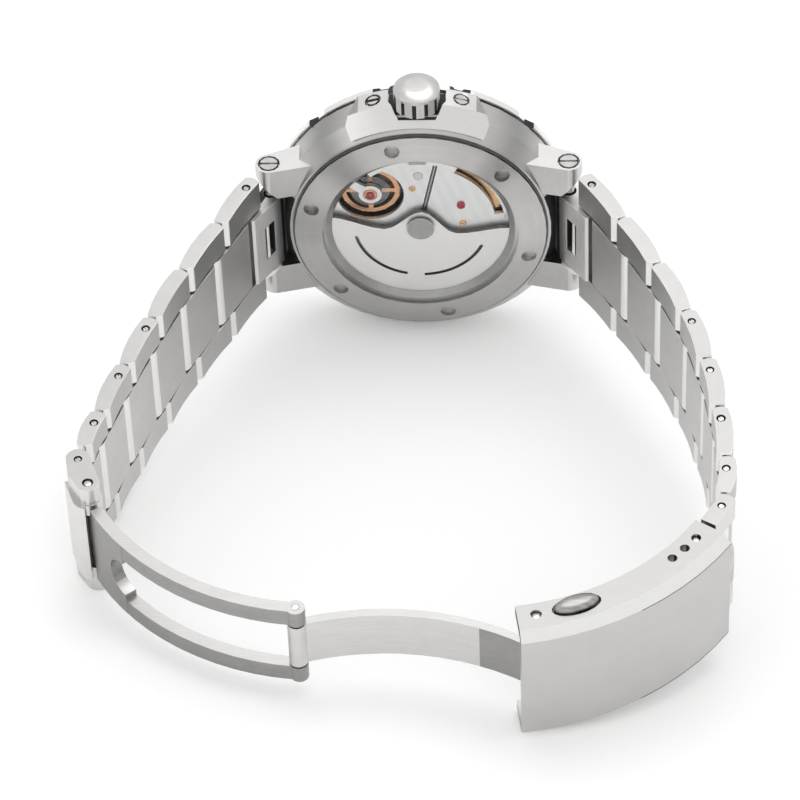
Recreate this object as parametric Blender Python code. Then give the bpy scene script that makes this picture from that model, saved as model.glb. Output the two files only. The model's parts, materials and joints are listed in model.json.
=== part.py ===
# A steel dive watch that stands on its nine o'clock side with its fold-over clasp open.
# The watch frame has +X towards twelve o'clock, +Y out through the dial and +Z along the crown.
# One empty carries every piece and leans the watch until case, clasp and bracelet touch the table.

import math

import bmesh
import bpy
from mathutils import Vector

MM = 0.001

# Fits
SEAT_GAP = 0.3 * MM
PIN_PLAY = 0.25 * MM
STEEL = ((0.62, 0.61, 0.59), 0.3, 1.0)
POLISHED = ((0.75, 0.74, 0.72), 0.12, 1.0)
RHODIUM = ((0.78, 0.77, 0.74), 0.35, 1.0)
GILT = ((0.86, 0.57, 0.33), 0.25, 1.0)
BLACK = ((0.015, 0.015, 0.017), 0.35, 0.0)
RUBBER = ((0.02, 0.02, 0.02), 0.8, 0.0)
GLASS = ((0.9, 0.93, 0.94), 0.03, 0.0)

# Case, all heights along Y from the plane of the case's back
CASE_RADIUS = 21.3 * MM
CASE_HEIGHT = 6.4 * MM
CASE_CHAMFER = 2.1 * MM
CASE_WALL = 4.1 * MM
CAVITY_RADIUS = CASE_RADIUS - CASE_WALL
CAVITY_TOP = 5.6 * MM
BACK_DEPTH = 2.3 * MM
NECK_INSET = 5.1 * MM
NECK_RADIUS = CASE_RADIUS - NECK_INSET
NECK_TOP = 8.4 * MM
NECK_WALL = 1.2 * MM
GLASS_BORE = NECK_RADIUS - NECK_WALL
GLASS_LEDGE = 6.8 * MM
GLASS_LEDGE_WIDTH = 0.7 * MM
DIAL_OPENING = GLASS_BORE - GLASS_LEDGE_WIDTH
CASE_SIDES = 48
HIDDEN_SIDES = 30
PIN_SIDES = 8

# Lugs and the bars through them
LUG_REACH = 0.5 * MM
LUG_BAR_X = CASE_RADIUS + LUG_REACH
LUG_BAR_Y = 1.2 * MM
LUG_RADIUS = 2.0 * MM
LUG_OUTER = 12.2 * MM
LUG_TAPER = 1.1 * MM
LUG_TAPER_ANGLE = math.radians(49)
LUG_BAR_RADIUS = 0.9 * MM
LUG_HEAD_RADIUS = 1.35 * MM
LUG_HEAD_DEPTH = 0.8 * MM
SCREW_SLOT = 0.35 * MM

# Case back
BACK_INSET = 2.8 * MM
BACK_RADIUS = CASE_RADIUS - BACK_INSET
BACK_LIP_RISE = 1.1 * MM
BACK_EDGE_RISE = 0.5 * MM
BACK_LAND = 0.8 * MM
BACK_FACE_WIDTH = 4.05 * MM
WINDOW_RADIUS = BACK_RADIUS - BACK_FACE_WIDTH
BACK_GLASS_RISE = 0.9 * MM
BACK_GLASS_THICK = 0.5 * MM
BACK_LEDGE_WIDTH = 0.55 * MM
BACK_LEDGE_THICK = 0.7 * MM
BACK_SKIRT = 1.3 * MM
NOTCH_COUNT = 6
NOTCH_INSET = 1.9 * MM
NOTCH_CIRCLE = BACK_RADIUS - NOTCH_INSET
NOTCH_RADIUS = 1.15 * MM
NOTCH_DEPTH = 0.9 * MM
NOTCH_START = math.radians(43)
GASKET_WIDTH = 1.0 * MM

# Crown and guard
CROWN_Y = 3.2 * MM
CROWN_RADIUS = 3.4 * MM
CROWN_STAND_OFF = 0.6 * MM
CROWN_BASE = CASE_RADIUS + CROWN_STAND_OFF
CROWN_LENGTH = 2.8 * MM
CROWN_DOME = 1.2 * MM
CROWN_FLUTES = 12
FLUTE_DEPTH = 0.28 * MM
CROWN_BORE = 2.4 * MM
CROWN_BORE_DEPTH = 2.0 * MM
TUBE_RADIUS = 1.1 * MM
TUBE_REACH = 1.6 * MM
TUBE_TOP = CASE_RADIUS + TUBE_REACH
TUBE_DEPTH = 2.0 * MM
TUBE_SEAT = CASE_RADIUS - TUBE_DEPTH
STEM_RADIUS = 0.45 * MM
STEM_DEPTH = 7.7 * MM
STEM_INNER_END = CAVITY_RADIUS - STEM_DEPTH
CROWN_SEAL_HEIGHT = 0.6 * MM
GUARD_ANGLE = math.radians(28.5)
GUARD_THICK = 1.1 * MM
GUARD_START = 0.35 * MM
GUARD_TOP = 5.8 * MM
GUARD_TOP_ANGLE = math.radians(22.5)
GUARD_MOUTH_BASE = 3.1 * MM
GUARD_MOUTH_WIDE = 4.2 * MM
GUARD_SCREW_ANGLE = math.radians(16.4)
GUARD_SCREW_Y = 4.1 * MM
GUARD_SCREW_HEAD = 0.95 * MM
GUARD_SCREW_DEPTH = 0.6 * MM
GUARD_SCREW_SHANK = 0.5 * MM
GUARD_SCREW_LENGTH = 2.4 * MM

# Bezel, crystal and dial side
BEZEL_OVERHANG = 0.4 * MM
BEZEL_RADIUS = CASE_RADIUS + BEZEL_OVERHANG
BEZEL_HEIGHT = 2.0 * MM
BEZEL_CHAMFER = 0.9 * MM
BEZEL_RIM = 0.2 * MM
BEZEL_POCKET = 0.7 * MM
BEZEL_NOTCHES = 12
BEZEL_NOTCH_RADIUS = 1.6 * MM
BEZEL_NOTCH_CUT = 1.3 * MM
BEZEL_NOTCH_START = math.radians(13.4)
INSERT_THICK = 0.5 * MM
CRYSTAL_THICK = 2.0 * MM
CRYSTAL_EDGE = 0.5 * MM
DIAL_THICK = 0.3 * MM
FLANGE_WIDTH = 0.6 * MM
HAND_THICK = 0.2 * MM
HAND_STEP = 0.45 * MM
HAND_POST_RADIUS = 0.45 * MM
HAND_HUB_WALL = 0.55 * MM
HOUR_LENGTH = 8.0 * MM
HOUR_WIDTH = 1.7 * MM
MINUTE_TIP_GAP = 1.9 * MM
MINUTE_LENGTH = DIAL_OPENING - MINUTE_TIP_GAP
MINUTE_WIDTH = 1.4 * MM
SECONDS_TIP_GAP = 1.5 * MM
SECONDS_LENGTH = DIAL_OPENING - SECONDS_TIP_GAP
SECONDS_TAIL = 4.0 * MM
SECONDS_WIDTH = 0.5 * MM
HOUR_ANGLE = math.radians(55)
MINUTE_ANGLE = math.radians(-60)
SECONDS_ANGLE = math.radians(180)

# Movement
HOLDER_WIDTH = 2.6 * MM
MOVEMENT_RADIUS = CAVITY_RADIUS - HOLDER_WIDTH
PLATE_THICK = 1.4 * MM
HOLDER_BASE = 2.1 * MM
BRIDGE_INSET = 1.3 * MM
BRIDGE_RADIUS = MOVEMENT_RADIUS - BRIDGE_INSET
BRIDGE_Y = 1.35 * MM
BRIDGE_THICK = 0.7 * MM
BRIDGE_SEAM = math.radians(78)
BALANCE_ANGLE = math.radians(142)
BALANCE_RADIUS = 4.3 * MM
BALANCE_OVERHANG = 0.2 * MM
BALANCE_REACH = BRIDGE_RADIUS - BALANCE_RADIUS + BALANCE_OVERHANG
BALANCE_X = BALANCE_REACH * math.cos(BALANCE_ANGLE)
BALANCE_Z = BALANCE_REACH * math.sin(BALANCE_ANGLE)
BALANCE_RIM = 0.7 * MM
BALANCE_THICK = 0.45 * MM
BALANCE_ARM = 0.7 * MM
COCK_RADIUS = 1.7 * MM
COCK_WIDTH = 3.4 * MM
BARREL_ANGLE = math.radians(35.4)
BARREL_RADIUS = 5.3 * MM
BARREL_OVERHANG = 0.46 * MM
BARREL_REACH = BRIDGE_RADIUS - BARREL_RADIUS + BARREL_OVERHANG
BARREL_X = BARREL_REACH * math.cos(BARREL_ANGLE)
BARREL_Z = BARREL_REACH * math.sin(BARREL_ANGLE)
BARREL_THICK = 0.55 * MM
BARREL_VIEW = 2.2 * MM
ROTOR_INSET = 1.1 * MM
ROTOR_RADIUS = MOVEMENT_RADIUS - ROTOR_INSET
ROTOR_THICK = 0.6 * MM
ROTOR_TOP_Z = 0.85 * MM
ROTOR_DIP_X = 5.3 * MM
ROTOR_DIP_Z = -0.9 * MM
ROTOR_BOSS = 2.95 * MM
ROTOR_REST = math.radians(-5.2)
BEARING_POST = 0.95 * MM
BEARING_CAP = 2.05 * MM
BEARING_CAP_THICK = 0.3 * MM

# Bracelet: lengths between pins and the angle each link makes with -Y, outwards positive
END_PIECE_LENGTH = 5.3 * MM
LEFT_PITCHES = [10.4 * MM, 10.4 * MM, 10.1 * MM, 9.7 * MM, 9.3 * MM, 6.9 * MM, 5.0 * MM]
RIGHT_PITCHES = [10.4 * MM, 10.4 * MM, 10.1 * MM, 9.7 * MM, 9.3 * MM, 9.3 * MM, 6.9 * MM, 7.2 * MM]
LEFT_ANGLES = [34.7, 27, 26, 22, 20, 18, 16.5, -20]
RIGHT_ANGLES = [37, 31, 27, 22, 14, 8, 3, -6, -31]
WIDTH_AT_LUGS = 23.4 * MM
WIDTH_AT_CLASP = 20.2 * MM
CENTRE_AT_LUGS = 12.8 * MM
CENTRE_AT_CLASP = 12.6 * MM
LINK_REACH = 1.95 * MM
LINK_HALF = 1.15 * MM
LINK_BULGE = 0.5 * MM
LINK_HOLLOW = 0.25 * MM
LINK_FAR_HEIGHT = 0.9 * MM
LINK_FAR_BEVEL = 0.75 * MM
PLATE_RADIUS = 1.05 * MM
LINK_PIN_RADIUS = 0.45 * MM
LINK_BAR_RADIUS = 0.6 * MM
EAR_RADIUS = 1.65 * MM
EAR_COLLAR = 0.15 * MM
END_HALF = 1.75 * MM
END_TIP = 1.2 * MM
END_BEVEL = 0.35 * MM
LINK_PIN_COVER = 0.6 * MM
WINDOW_HEIGHT = 6.2 * MM
WINDOW_WIDTH = 2.2 * MM
WINDOW_DEPTH = 1.2 * MM
WINDOW_START = 1.75 * MM
WINDOW_BAR_RADIUS = 0.4 * MM
END_WEB = 0.8 * MM
WEB_END = 31

# Clasp: polar sizes are about the centre of the cover's arc, angles from -Y towards +X
COVER_RADIUS = 41.0 * MM
COVER_DEPTH = 5.7 * MM
COVER_PLATE = 1.3 * MM
COVER_HALF = 10.3 * MM
COVER_WALL = 1.5 * MM
COVER_BEVEL = 1.3 * MM
COVER_START = 8.3
COVER_END = 56.5
COVER_STEPS = 10
PIN_INSET = 3.8 * MM
PIN_CIRCLE = COVER_RADIUS - PIN_INSET
COVER_PIN_ANGLE = 12.25
BUTTON_ANGLE = 20.9
ADJUST_ANGLES = [44.7, 48.5, 52.3]
SPRING_BAR_RADIUS = 0.45 * MM
BUTTON_LENGTH = 6.4 * MM
BUTTON_WIDTH = 2.7 * MM
BUTTON_PROUD = 0.65 * MM
BUTTON_DEPTH = 3.0 * MM
BLADE_PIN_RADIUS = 0.55 * MM
BLADE_KNUCKLE = 1.3 * MM
INNER_BLADE_SPARE = 11.3 * MM
INNER_BLADE_CHORD = CASE_RADIUS + INNER_BLADE_SPARE
INNER_BLADE_RADIUS = 38.0 * MM
INNER_BLADE_HALF = 3.9 * MM
INNER_BLADE_THICK = 1.2 * MM
OUTER_BLADE_SPARE = 14.1 * MM
OUTER_BLADE_CHORD = CASE_RADIUS + OUTER_BLADE_SPARE
OUTER_BLADE_RADIUS = 36.0 * MM
OUTER_BLADE_THICK = 1.8 * MM
RAIL_HEIGHT = 2.7 * MM
END_PLATE_START = 2.2 * MM
END_PLATE_END = 10.0 * MM
END_PLATE_SCALLOP = 3.2 * MM
TONGUE_HALF = 5.0 * MM
BLADE_STEPS = 12


def clear_scene():
    for obj in list(bpy.data.objects):
        bpy.data.objects.remove(obj)


def finish_material(name, finish):
    colour, roughness, metallic = finish
    material = bpy.data.materials.new(name)
    material.use_nodes = True
    shader = material.node_tree.nodes["Principled BSDF"]
    shader.inputs["Base Color"].default_value = (*colour, 1)
    shader.inputs["Roughness"].default_value = roughness
    shader.inputs["Metallic"].default_value = metallic
    return material


def solid(name, points, faces):
    # A loose object from corner points and faces, with its faces turned outwards.
    shape = bmesh.new()
    corners = [shape.verts.new(point) for point in points]
    for face in faces:
        shape.faces.new([corners[index] for index in face])
    bmesh.ops.recalc_face_normals(shape, faces=shape.faces)
    mesh = bpy.data.meshes.new(name)
    shape.to_mesh(mesh)
    shape.free()
    obj = bpy.data.objects.new(name, mesh)
    bpy.context.scene.collection.objects.link(obj)
    return obj


def combine(target, tool, operation):
    modifier = target.modifiers.new("shape", "BOOLEAN")
    modifier.operation = operation
    modifier.solver = "EXACT"
    modifier.object = tool
    graph = bpy.context.evaluated_depsgraph_get()
    result = bpy.data.meshes.new_from_object(target.evaluated_get(graph))
    target.modifiers.remove(modifier)
    target.data = result
    bpy.data.objects.remove(tool)
    return target


def join(target, *tools):
    for tool in tools:
        combine(target, tool, "UNION")
    return target


def cut(target, *tools):
    for tool in tools:
        combine(target, tool, "DIFFERENCE")
    return target


def place(obj, stand, finish, location=(0, 0, 0), rotation=(0, 0, 0)):
    obj.data.name = obj.name
    obj.data.materials.clear()
    obj.data.materials.append(finish_material(obj.name, finish))
    obj.data.shade_smooth()
    obj.data.set_sharp_from_angle(angle=math.radians(30))
    obj.parent = stand
    obj.location = location
    obj.rotation_euler = rotation
    return obj


def arc(x, y, radius, start, end, steps):
    # Points on a circle from one angle to another, both in degrees.
    turns = [math.radians(start + (end - start) * i / steps) for i in range(steps + 1)]
    return [(x + radius * math.cos(t), y + radius * math.sin(t)) for t in turns]


def prism(name, outline, low, high):
    # An outline in XY raised along Z; low and high are heights or functions of X.
    count = len(outline)

    def level(value, x):
        return value(x) if callable(value) else value

    points = [(x, y, level(low, x)) for x, y in outline]
    points += [(x, y, level(high, x)) for x, y in outline]
    faces = [list(range(count)), list(range(count, 2 * count))]
    faces += [[i, (i + 1) % count, count + (i + 1) % count, count + i] for i in range(count)]
    return solid(name, points, faces)


def peg(name, x, y, radius, low, high, sides=12):
    return prism(name, arc(x, y, radius, 0, 360 - 360 / sides, sides - 1), low, high)


def upright(name, outline, low, high):
    # An outline in XZ raised along Y.
    count = len(outline)
    points = [(x, low, z) for x, z in outline] + [(x, high, z) for x, z in outline]
    faces = [list(range(count)), list(range(count, 2 * count))]
    faces += [[i, (i + 1) % count, count + (i + 1) % count, count + i] for i in range(count)]
    return solid(name, points, faces)


def turned(name, profile, sides=CASE_SIDES, start=0.0, sweep=None):
    # A closed profile of (radius, y) turned about Y: a full ring, or a sector with end faces.
    count = len(profile)
    full = sweep is None
    stations = sides if full else sides + 1
    step = (2 * math.pi if full else sweep) / sides
    points = []
    for station in range(stations):
        angle = start + step * station
        points += [(r * math.cos(angle), y, r * math.sin(angle)) for r, y in profile]
    faces = []
    for station in range(sides):
        here = station * count
        there = (station + 1) % stations * count
        for i in range(count):
            j = (i + 1) % count
            faces.append([here + i, here + j, there + j, there + i])
    if not full:
        faces.append(list(range(count)))
        faces.append(list(range(sides * count, stations * count)))
    return solid(name, points, faces)


def disc(name, radius, low, high, sides=CASE_SIDES, x=0.0, z=0.0):
    outline = arc(x, z, radius, 0, 360 - 360 / sides, sides - 1)
    return upright(name, outline, low, high)


def radial_peg(name, angle, y, radius, inner, outer, sides=12):
    # A round peg whose axis points straight out from the case's axis at one angle.
    obj = peg(name, 0, 0, radius, inner, outer, sides)
    outwards = Vector((math.cos(angle), 0, math.sin(angle)))
    turn = Vector((0, 0, 1)).rotation_difference(outwards)
    for vertex in obj.data.vertices:
        vertex.co = turn @ vertex.co + Vector((0, y, 0))
    return obj


def block(name, x, y, z):
    # A box between two values on each axis.
    return prism(name, [(x[0], y[0]), (x[1], y[0]), (x[1], y[1]), (x[0], y[1])], z[0], z[1])


def direction(side, degrees):
    angle = math.radians(degrees)
    return Vector((side * math.sin(angle), -math.cos(angle)))


def chain(side, angles, lengths):
    # The pin places along one half of the bracelet, from the lug bar on.
    pins = [Vector((side * LUG_BAR_X, LUG_BAR_Y))]
    for degrees, length in zip(angles, lengths):
        pins.append(pins[-1] + direction(side, degrees) * length)
    return pins


def cover_point(radius, degrees):
    angle = math.radians(degrees)
    return Vector((radius * math.sin(angle), -radius * math.cos(angle)))


def meeting_point(first, first_reach, second, second_reach):
    # Where two blades meet, on the outer side of the line between their other ends.
    span = second - first
    along = (first_reach ** 2 - second_reach ** 2 + span.length_squared) / (2 * span.length)
    off = math.sqrt(first_reach ** 2 - along ** 2)
    ahead = span.normalized()
    return first + ahead * along + Vector((ahead.y, -ahead.x)) * off


def bow(start, end, radius, side):
    # Centre and angles of the arc from start to end; side 1 bows it to the right of the way.
    span = end - start
    drop = math.sqrt(radius ** 2 - span.length_squared / 4)
    ahead = span.normalized()
    centre = (start + end) / 2 - Vector((ahead.y, -ahead.x)) * drop * side
    first = math.atan2(start.y - centre.y, start.x - centre.x)
    last = math.atan2(end.y - centre.y, end.x - centre.x)
    sweep = math.remainder(last - first, 2 * math.pi)
    return centre, first, sweep


def curved_strip(name, curve, radius, thick, heights, part=(0.0, 1.0), steps=BLADE_STEPS):
    # A rectangular strip along a share of an arc.
    centre, first, sweep = curve
    low, high = heights
    points = []
    for i in range(steps + 1):
        angle = first + sweep * (part[0] + (part[1] - part[0]) * i / steps)
        for r, z in ((radius - thick / 2, low), (radius + thick / 2, low),
                     (radius + thick / 2, high), (radius - thick / 2, high)):
            points.append((centre.x + r * math.cos(angle), centre.y + r * math.sin(angle), z))
    faces = [[0, 1, 2, 3], [4 * steps + i for i in range(4)]]
    for i in range(steps):
        for k in range(4):
            m = (k + 1) % 4
            faces.append([4 * i + k, 4 * i + m, 4 * i + 4 + m, 4 * i + 4 + k])
    return solid(name, points, faces)


def build_mid_case(stand):
    profile = [
        (BACK_RADIUS + SEAT_GAP, 0),
        (CASE_RADIUS - CASE_CHAMFER, 0),
        (CASE_RADIUS, CASE_CHAMFER),
        (CASE_RADIUS, CASE_HEIGHT),
        (NECK_RADIUS, CASE_HEIGHT),
        (NECK_RADIUS, NECK_TOP),
        (GLASS_BORE, NECK_TOP),
        (GLASS_BORE, GLASS_LEDGE),
        (DIAL_OPENING, GLASS_LEDGE),
        (DIAL_OPENING, CAVITY_TOP),
        (CAVITY_RADIUS, CAVITY_TOP),
        (CAVITY_RADIUS, BACK_DEPTH),
        (BACK_RADIUS + SEAT_GAP, BACK_DEPTH),
    ]
    case = turned("mid_case", profile, start=math.pi / CASE_SIDES)
    inner = CENTRE_AT_LUGS / 2 + 1.5 * SEAT_GAP
    root = CAVITY_RADIUS - CASE_CHAMFER
    wall = (BACK_RADIUS + SEAT_GAP + CASE_RADIUS - CASE_CHAMFER) / 2
    for side in (-1, 1):
        for end in (-1, 1):
            tip = arc(LUG_BAR_X, LUG_BAR_Y, LUG_RADIUS, -95, 60, 7)
            outline = [(root, CASE_CHAMFER / 3)] + tip + [(root, CASE_HEIGHT - SEAT_GAP)]
            outline = [(side * x, y) for x, y in outline]
            heights = sorted((end * inner, end * LUG_OUTER))
            lug = prism("lug", outline, *heights)
            # The tip slants away below, from just inside the bar.
            first = LUG_BAR_X - LUG_TAPER - LUG_RADIUS
            last = LUG_BAR_X + 2 * LUG_RADIUS
            low = inner - LUG_RADIUS * math.tan(LUG_TAPER_ANGLE)
            high = low + (last - first) * math.tan(LUG_TAPER_ANGLE)
            slant = [(side * first, end * low), (side * last, end * low), (side * last, end * high)]
            cut(lug, upright("slant", slant, -CASE_HEIGHT, 2 * CASE_HEIGHT))
            join(case, cut(lug, disc("wall", wall, -CASE_HEIGHT, 2 * CASE_HEIGHT)))
    for side in (-1, 1):
        bore = LUG_BAR_RADIUS + SEAT_GAP
        x = side * LUG_BAR_X
        bay = END_HALF + SEAT_GAP
        cut(case, peg("tongue_bay", x, LUG_BAR_Y, bay, -inner, inner, 16))
        cut(case, peg("bar_bore", x, LUG_BAR_Y, bore, -1.1 * LUG_OUTER, 1.1 * LUG_OUTER))
        for end in (-1, 1):
            floor = end * (LUG_OUTER - LUG_HEAD_DEPTH - SEAT_GAP)
            heights = sorted((floor, end * 1.1 * LUG_OUTER))
            cut(case, peg("head_bore", x, LUG_BAR_Y, LUG_HEAD_RADIUS + SEAT_GAP, *heights))
    up = math.pi / 2
    cut(case, radial_peg("stem_bore", up, CROWN_Y, STEM_RADIUS + SEAT_GAP, root, 2 * CASE_RADIUS))
    cut(case, radial_peg("tube_bore", up, CROWN_Y, TUBE_RADIUS + SEAT_GAP, TUBE_SEAT, 2 * CASE_RADIUS))
    for turn in (-1, 1):
        angle = up + turn * GUARD_SCREW_ANGLE
        floor = CASE_RADIUS + GUARD_THICK - GUARD_SCREW_LENGTH
        radius = GUARD_SCREW_SHANK + SEAT_GAP
        cut(case, radial_peg("screw_bore", angle, GUARD_SCREW_Y, radius, floor, 2 * CASE_RADIUS))
    return place(case, stand, STEEL)


def build_lug_bars(stand):
    for name, side in (("left_lug_bar", -1), ("right_lug_bar", 1)):
        floor = LUG_OUTER - LUG_HEAD_DEPTH
        bar = peg(name, 0, 0, LUG_BAR_RADIUS, -floor - LUG_HEAD_DEPTH / 2, floor + LUG_HEAD_DEPTH / 2)
        for end in (-1, 1):
            heights = sorted((end * floor, end * LUG_OUTER))
            head = peg("head", 0, 0, LUG_HEAD_RADIUS, *heights)
            reach = 2 * LUG_HEAD_RADIUS
            depths = sorted((end * (LUG_OUTER - LUG_HEAD_DEPTH / 2), end * 2 * LUG_OUTER))
            slot = block("slot", (-reach, reach), (-SCREW_SLOT / 2, SCREW_SLOT / 2), depths)
            join(bar, cut(head, slot))
        place(bar, stand, STEEL, (side * LUG_BAR_X, LUG_BAR_Y, 0))


def back_face(radius):
    # Height of the case back's sloping face at a radius.
    inner = WINDOW_RADIUS + BACK_LAND
    share = max(0.0, radius - inner) / (BACK_RADIUS - inner)
    return -BACK_LIP_RISE + (BACK_LIP_RISE - BACK_EDGE_RISE) * share


def build_case_back(stand):
    ledge = WINDOW_RADIUS - BACK_LEDGE_WIDTH
    ledge_top = BACK_GLASS_THICK - BACK_GLASS_RISE + SEAT_GAP
    skirt_inner = WINDOW_RADIUS + BACK_LAND
    profile = [
        (WINDOW_RADIUS, -BACK_LIP_RISE),
        (skirt_inner, -BACK_LIP_RISE),
        (BACK_RADIUS, -BACK_EDGE_RISE),
        (BACK_RADIUS, BACK_SKIRT),
        (skirt_inner, BACK_SKIRT),
        (skirt_inner, ledge_top + BACK_LEDGE_THICK),
        (ledge, ledge_top + BACK_LEDGE_THICK),
        (ledge, ledge_top),
        (WINDOW_RADIUS, ledge_top),
    ]
    ring = turned("case_back_ring", profile)
    for i in range(NOTCH_COUNT):
        angle = NOTCH_START + 2 * math.pi * i / NOTCH_COUNT
        x = NOTCH_CIRCLE * math.cos(angle)
        z = NOTCH_CIRCLE * math.sin(angle)
        top = back_face(NOTCH_CIRCLE)
        cut(ring, disc("notch", NOTCH_RADIUS, top - NOTCH_DEPTH, top + NOTCH_DEPTH, 10, x, z))
    place(ring, stand, STEEL)

    crystal_base = -BACK_GLASS_RISE
    crystal = disc("case_back_crystal", WINDOW_RADIUS - SEAT_GAP,
                   crystal_base, crystal_base + BACK_GLASS_THICK)
    place(crystal, stand, GLASS)

    outer = BACK_RADIUS - SEAT_GAP
    base = BACK_SKIRT + SEAT_GAP
    top = BACK_DEPTH - SEAT_GAP
    gasket = turned("case_back_gasket", [(outer - GASKET_WIDTH, base), (outer, base),
                                         (outer, top), (outer - GASKET_WIDTH, top)], HIDDEN_SIDES)
    place(gasket, stand, RUBBER)


def build_crown_guard(stand):
    # The guard wraps the case's chamfer and flank on both sides of the crown.
    lift = SEAT_GAP / math.sqrt(2)
    low = CASE_RADIUS - CASE_CHAMFER + lift + GUARD_START
    start = (low, GUARD_START - lift)
    corner = CASE_RADIUS + SEAT_GAP
    bend = start[1] + corner - low
    edge = GUARD_THICK / 3
    outer = CASE_RADIUS + GUARD_THICK + SEAT_GAP
    profile = [
        start,
        (low + edge, start[1] - edge),
        (outer, start[1] - edge + outer - low - edge),
        (outer, GUARD_TOP),
        (corner, GUARD_TOP),
        (corner, bend),
    ]
    up = math.pi / 2
    guard = turned("crown_guard", profile, 18, up - GUARD_ANGLE, 2 * GUARD_ANGLE)
    floor = CROWN_BASE - SEAT_GAP - low - 2 * edge + start[1]
    mouth = [
        (-GUARD_MOUTH_BASE, floor),
        (GUARD_MOUTH_BASE, floor),
        (GUARD_MOUTH_WIDE, CROWN_Y),
        (GUARD_MOUTH_WIDE, 2 * CASE_HEIGHT),
        (-GUARD_MOUTH_WIDE, 2 * CASE_HEIGHT),
        (-GUARD_MOUTH_WIDE, CROWN_Y),
    ]
    cut(guard, prism("mouth", mouth, CASE_RADIUS / 2, 2 * CASE_RADIUS))
    wide = outer * math.sin(GUARD_ANGLE)
    narrow = outer * math.sin(GUARD_TOP_ANGLE)
    for turn in (-1, 1):
        slant = [(turn * wide, GUARD_START), (turn * narrow, GUARD_TOP), (turn * narrow, 2 * CASE_HEIGHT),
                 (turn * outer, 2 * CASE_HEIGHT), (turn * outer, GUARD_START)]
        cut(guard, prism("slant", slant, CASE_RADIUS / 2, 2 * CASE_RADIUS))
    seat = outer - GUARD_SCREW_DEPTH - SEAT_GAP
    for turn in (-1, 1):
        angle = up + turn * GUARD_SCREW_ANGLE
        shank = GUARD_SCREW_SHANK + SEAT_GAP
        head = GUARD_SCREW_HEAD + SEAT_GAP
        cut(guard, radial_peg("shank_bore", angle, GUARD_SCREW_Y, shank, CASE_RADIUS / 2, 2 * CASE_RADIUS))
        cut(guard, radial_peg("head_bore", angle, GUARD_SCREW_Y, head, seat, 2 * CASE_RADIUS))
    place(guard, stand, STEEL)

    for name, turn in (("guard_screw_right", -1), ("guard_screw_left", 1)):
        top = outer
        base = top - GUARD_SCREW_DEPTH
        tip = CASE_RADIUS + GUARD_THICK - GUARD_SCREW_LENGTH + SEAT_GAP
        screw = peg(name, 0, 0, GUARD_SCREW_HEAD, base, top)
        reach = 2 * GUARD_SCREW_HEAD
        slot_floor = top - GUARD_SCREW_DEPTH / 2
        cut(screw, block("slot", (-reach, reach), (-SCREW_SLOT / 2, SCREW_SLOT / 2), (slot_floor, 2 * top)))
        join(screw, peg("shank", 0, 0, GUARD_SCREW_SHANK, tip, base + GUARD_SCREW_DEPTH / 4, 10))
        place(screw, stand, STEEL, (0, GUARD_SCREW_Y, 0), (0, -turn * GUARD_SCREW_ANGLE, 0))


def build_crown(stand):
    # The crown's pieces stand on its own axis, so their origins lie at (0, CROWN_Y).
    at = (0, CROWN_Y, 0)
    outline = []
    for i in range(CROWN_FLUTES):
        for share, radius in ((0.0, CROWN_RADIUS), (0.66, CROWN_RADIUS),
                              (0.74, CROWN_RADIUS - FLUTE_DEPTH), (0.92, CROWN_RADIUS - FLUTE_DEPTH)):
            angle = 2 * math.pi * (i + share) / CROWN_FLUTES
            outline.append((radius * math.cos(angle), radius * math.sin(angle)))
    crown = prism("crown", outline, CROWN_BASE, CROWN_BASE + CROWN_LENGTH)
    rim = CROWN_BASE + CROWN_LENGTH - CROWN_DOME / 4
    sides = 2 * CROWN_FLUTES
    radii = [(1.0, 0.0), (0.99, 0.35), (0.8, 0.75), (0.45, 0.95)]
    points = []
    for share, rise in radii:
        ring = arc(0, 0, CROWN_RADIUS * share, 0, 360 - 360 / sides, sides - 1)
        points += [(x, y, rim + CROWN_DOME * rise) for x, y in ring]
    faces = [list(range(sides)), list(range(3 * sides, 4 * sides))]
    for level in range(3):
        for i in range(sides):
            j = (i + 1) % sides
            faces.append([level * sides + i, level * sides + j,
                          (level + 1) * sides + j, (level + 1) * sides + i])
    join(crown, solid("dome", points, faces))
    bore_top = CROWN_BASE + CROWN_BORE_DEPTH
    cut(crown, peg("bore", 0, 0, CROWN_BORE, CROWN_BASE - CROWN_LENGTH, bore_top, 20))
    place(crown, stand, POLISHED, at)

    tube = peg("crown_tube", 0, 0, TUBE_RADIUS, TUBE_SEAT + SEAT_GAP, TUBE_TOP, 16)
    bore = STEM_RADIUS + SEAT_GAP
    cut(tube, peg("bore", 0, 0, bore, 0, 2 * TUBE_TOP, 16))
    place(tube, stand, STEEL, at)

    seal_inner = TUBE_RADIUS + SEAT_GAP
    seal_outer = CROWN_BORE - SEAT_GAP
    seal_base = TUBE_TOP - CROWN_SEAL_HEIGHT
    seal = peg("crown_gasket", 0, 0, seal_outer, seal_base, TUBE_TOP, 20)
    cut(seal, peg("bore", 0, 0, seal_inner, 0, 2 * TUBE_TOP, 20))
    place(seal, stand, RUBBER, at)

    stem = peg("winding_stem", 0, 0, STEM_RADIUS, STEM_INNER_END, bore_top - SEAT_GAP)
    place(stem, stand, STEEL, at)


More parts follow.
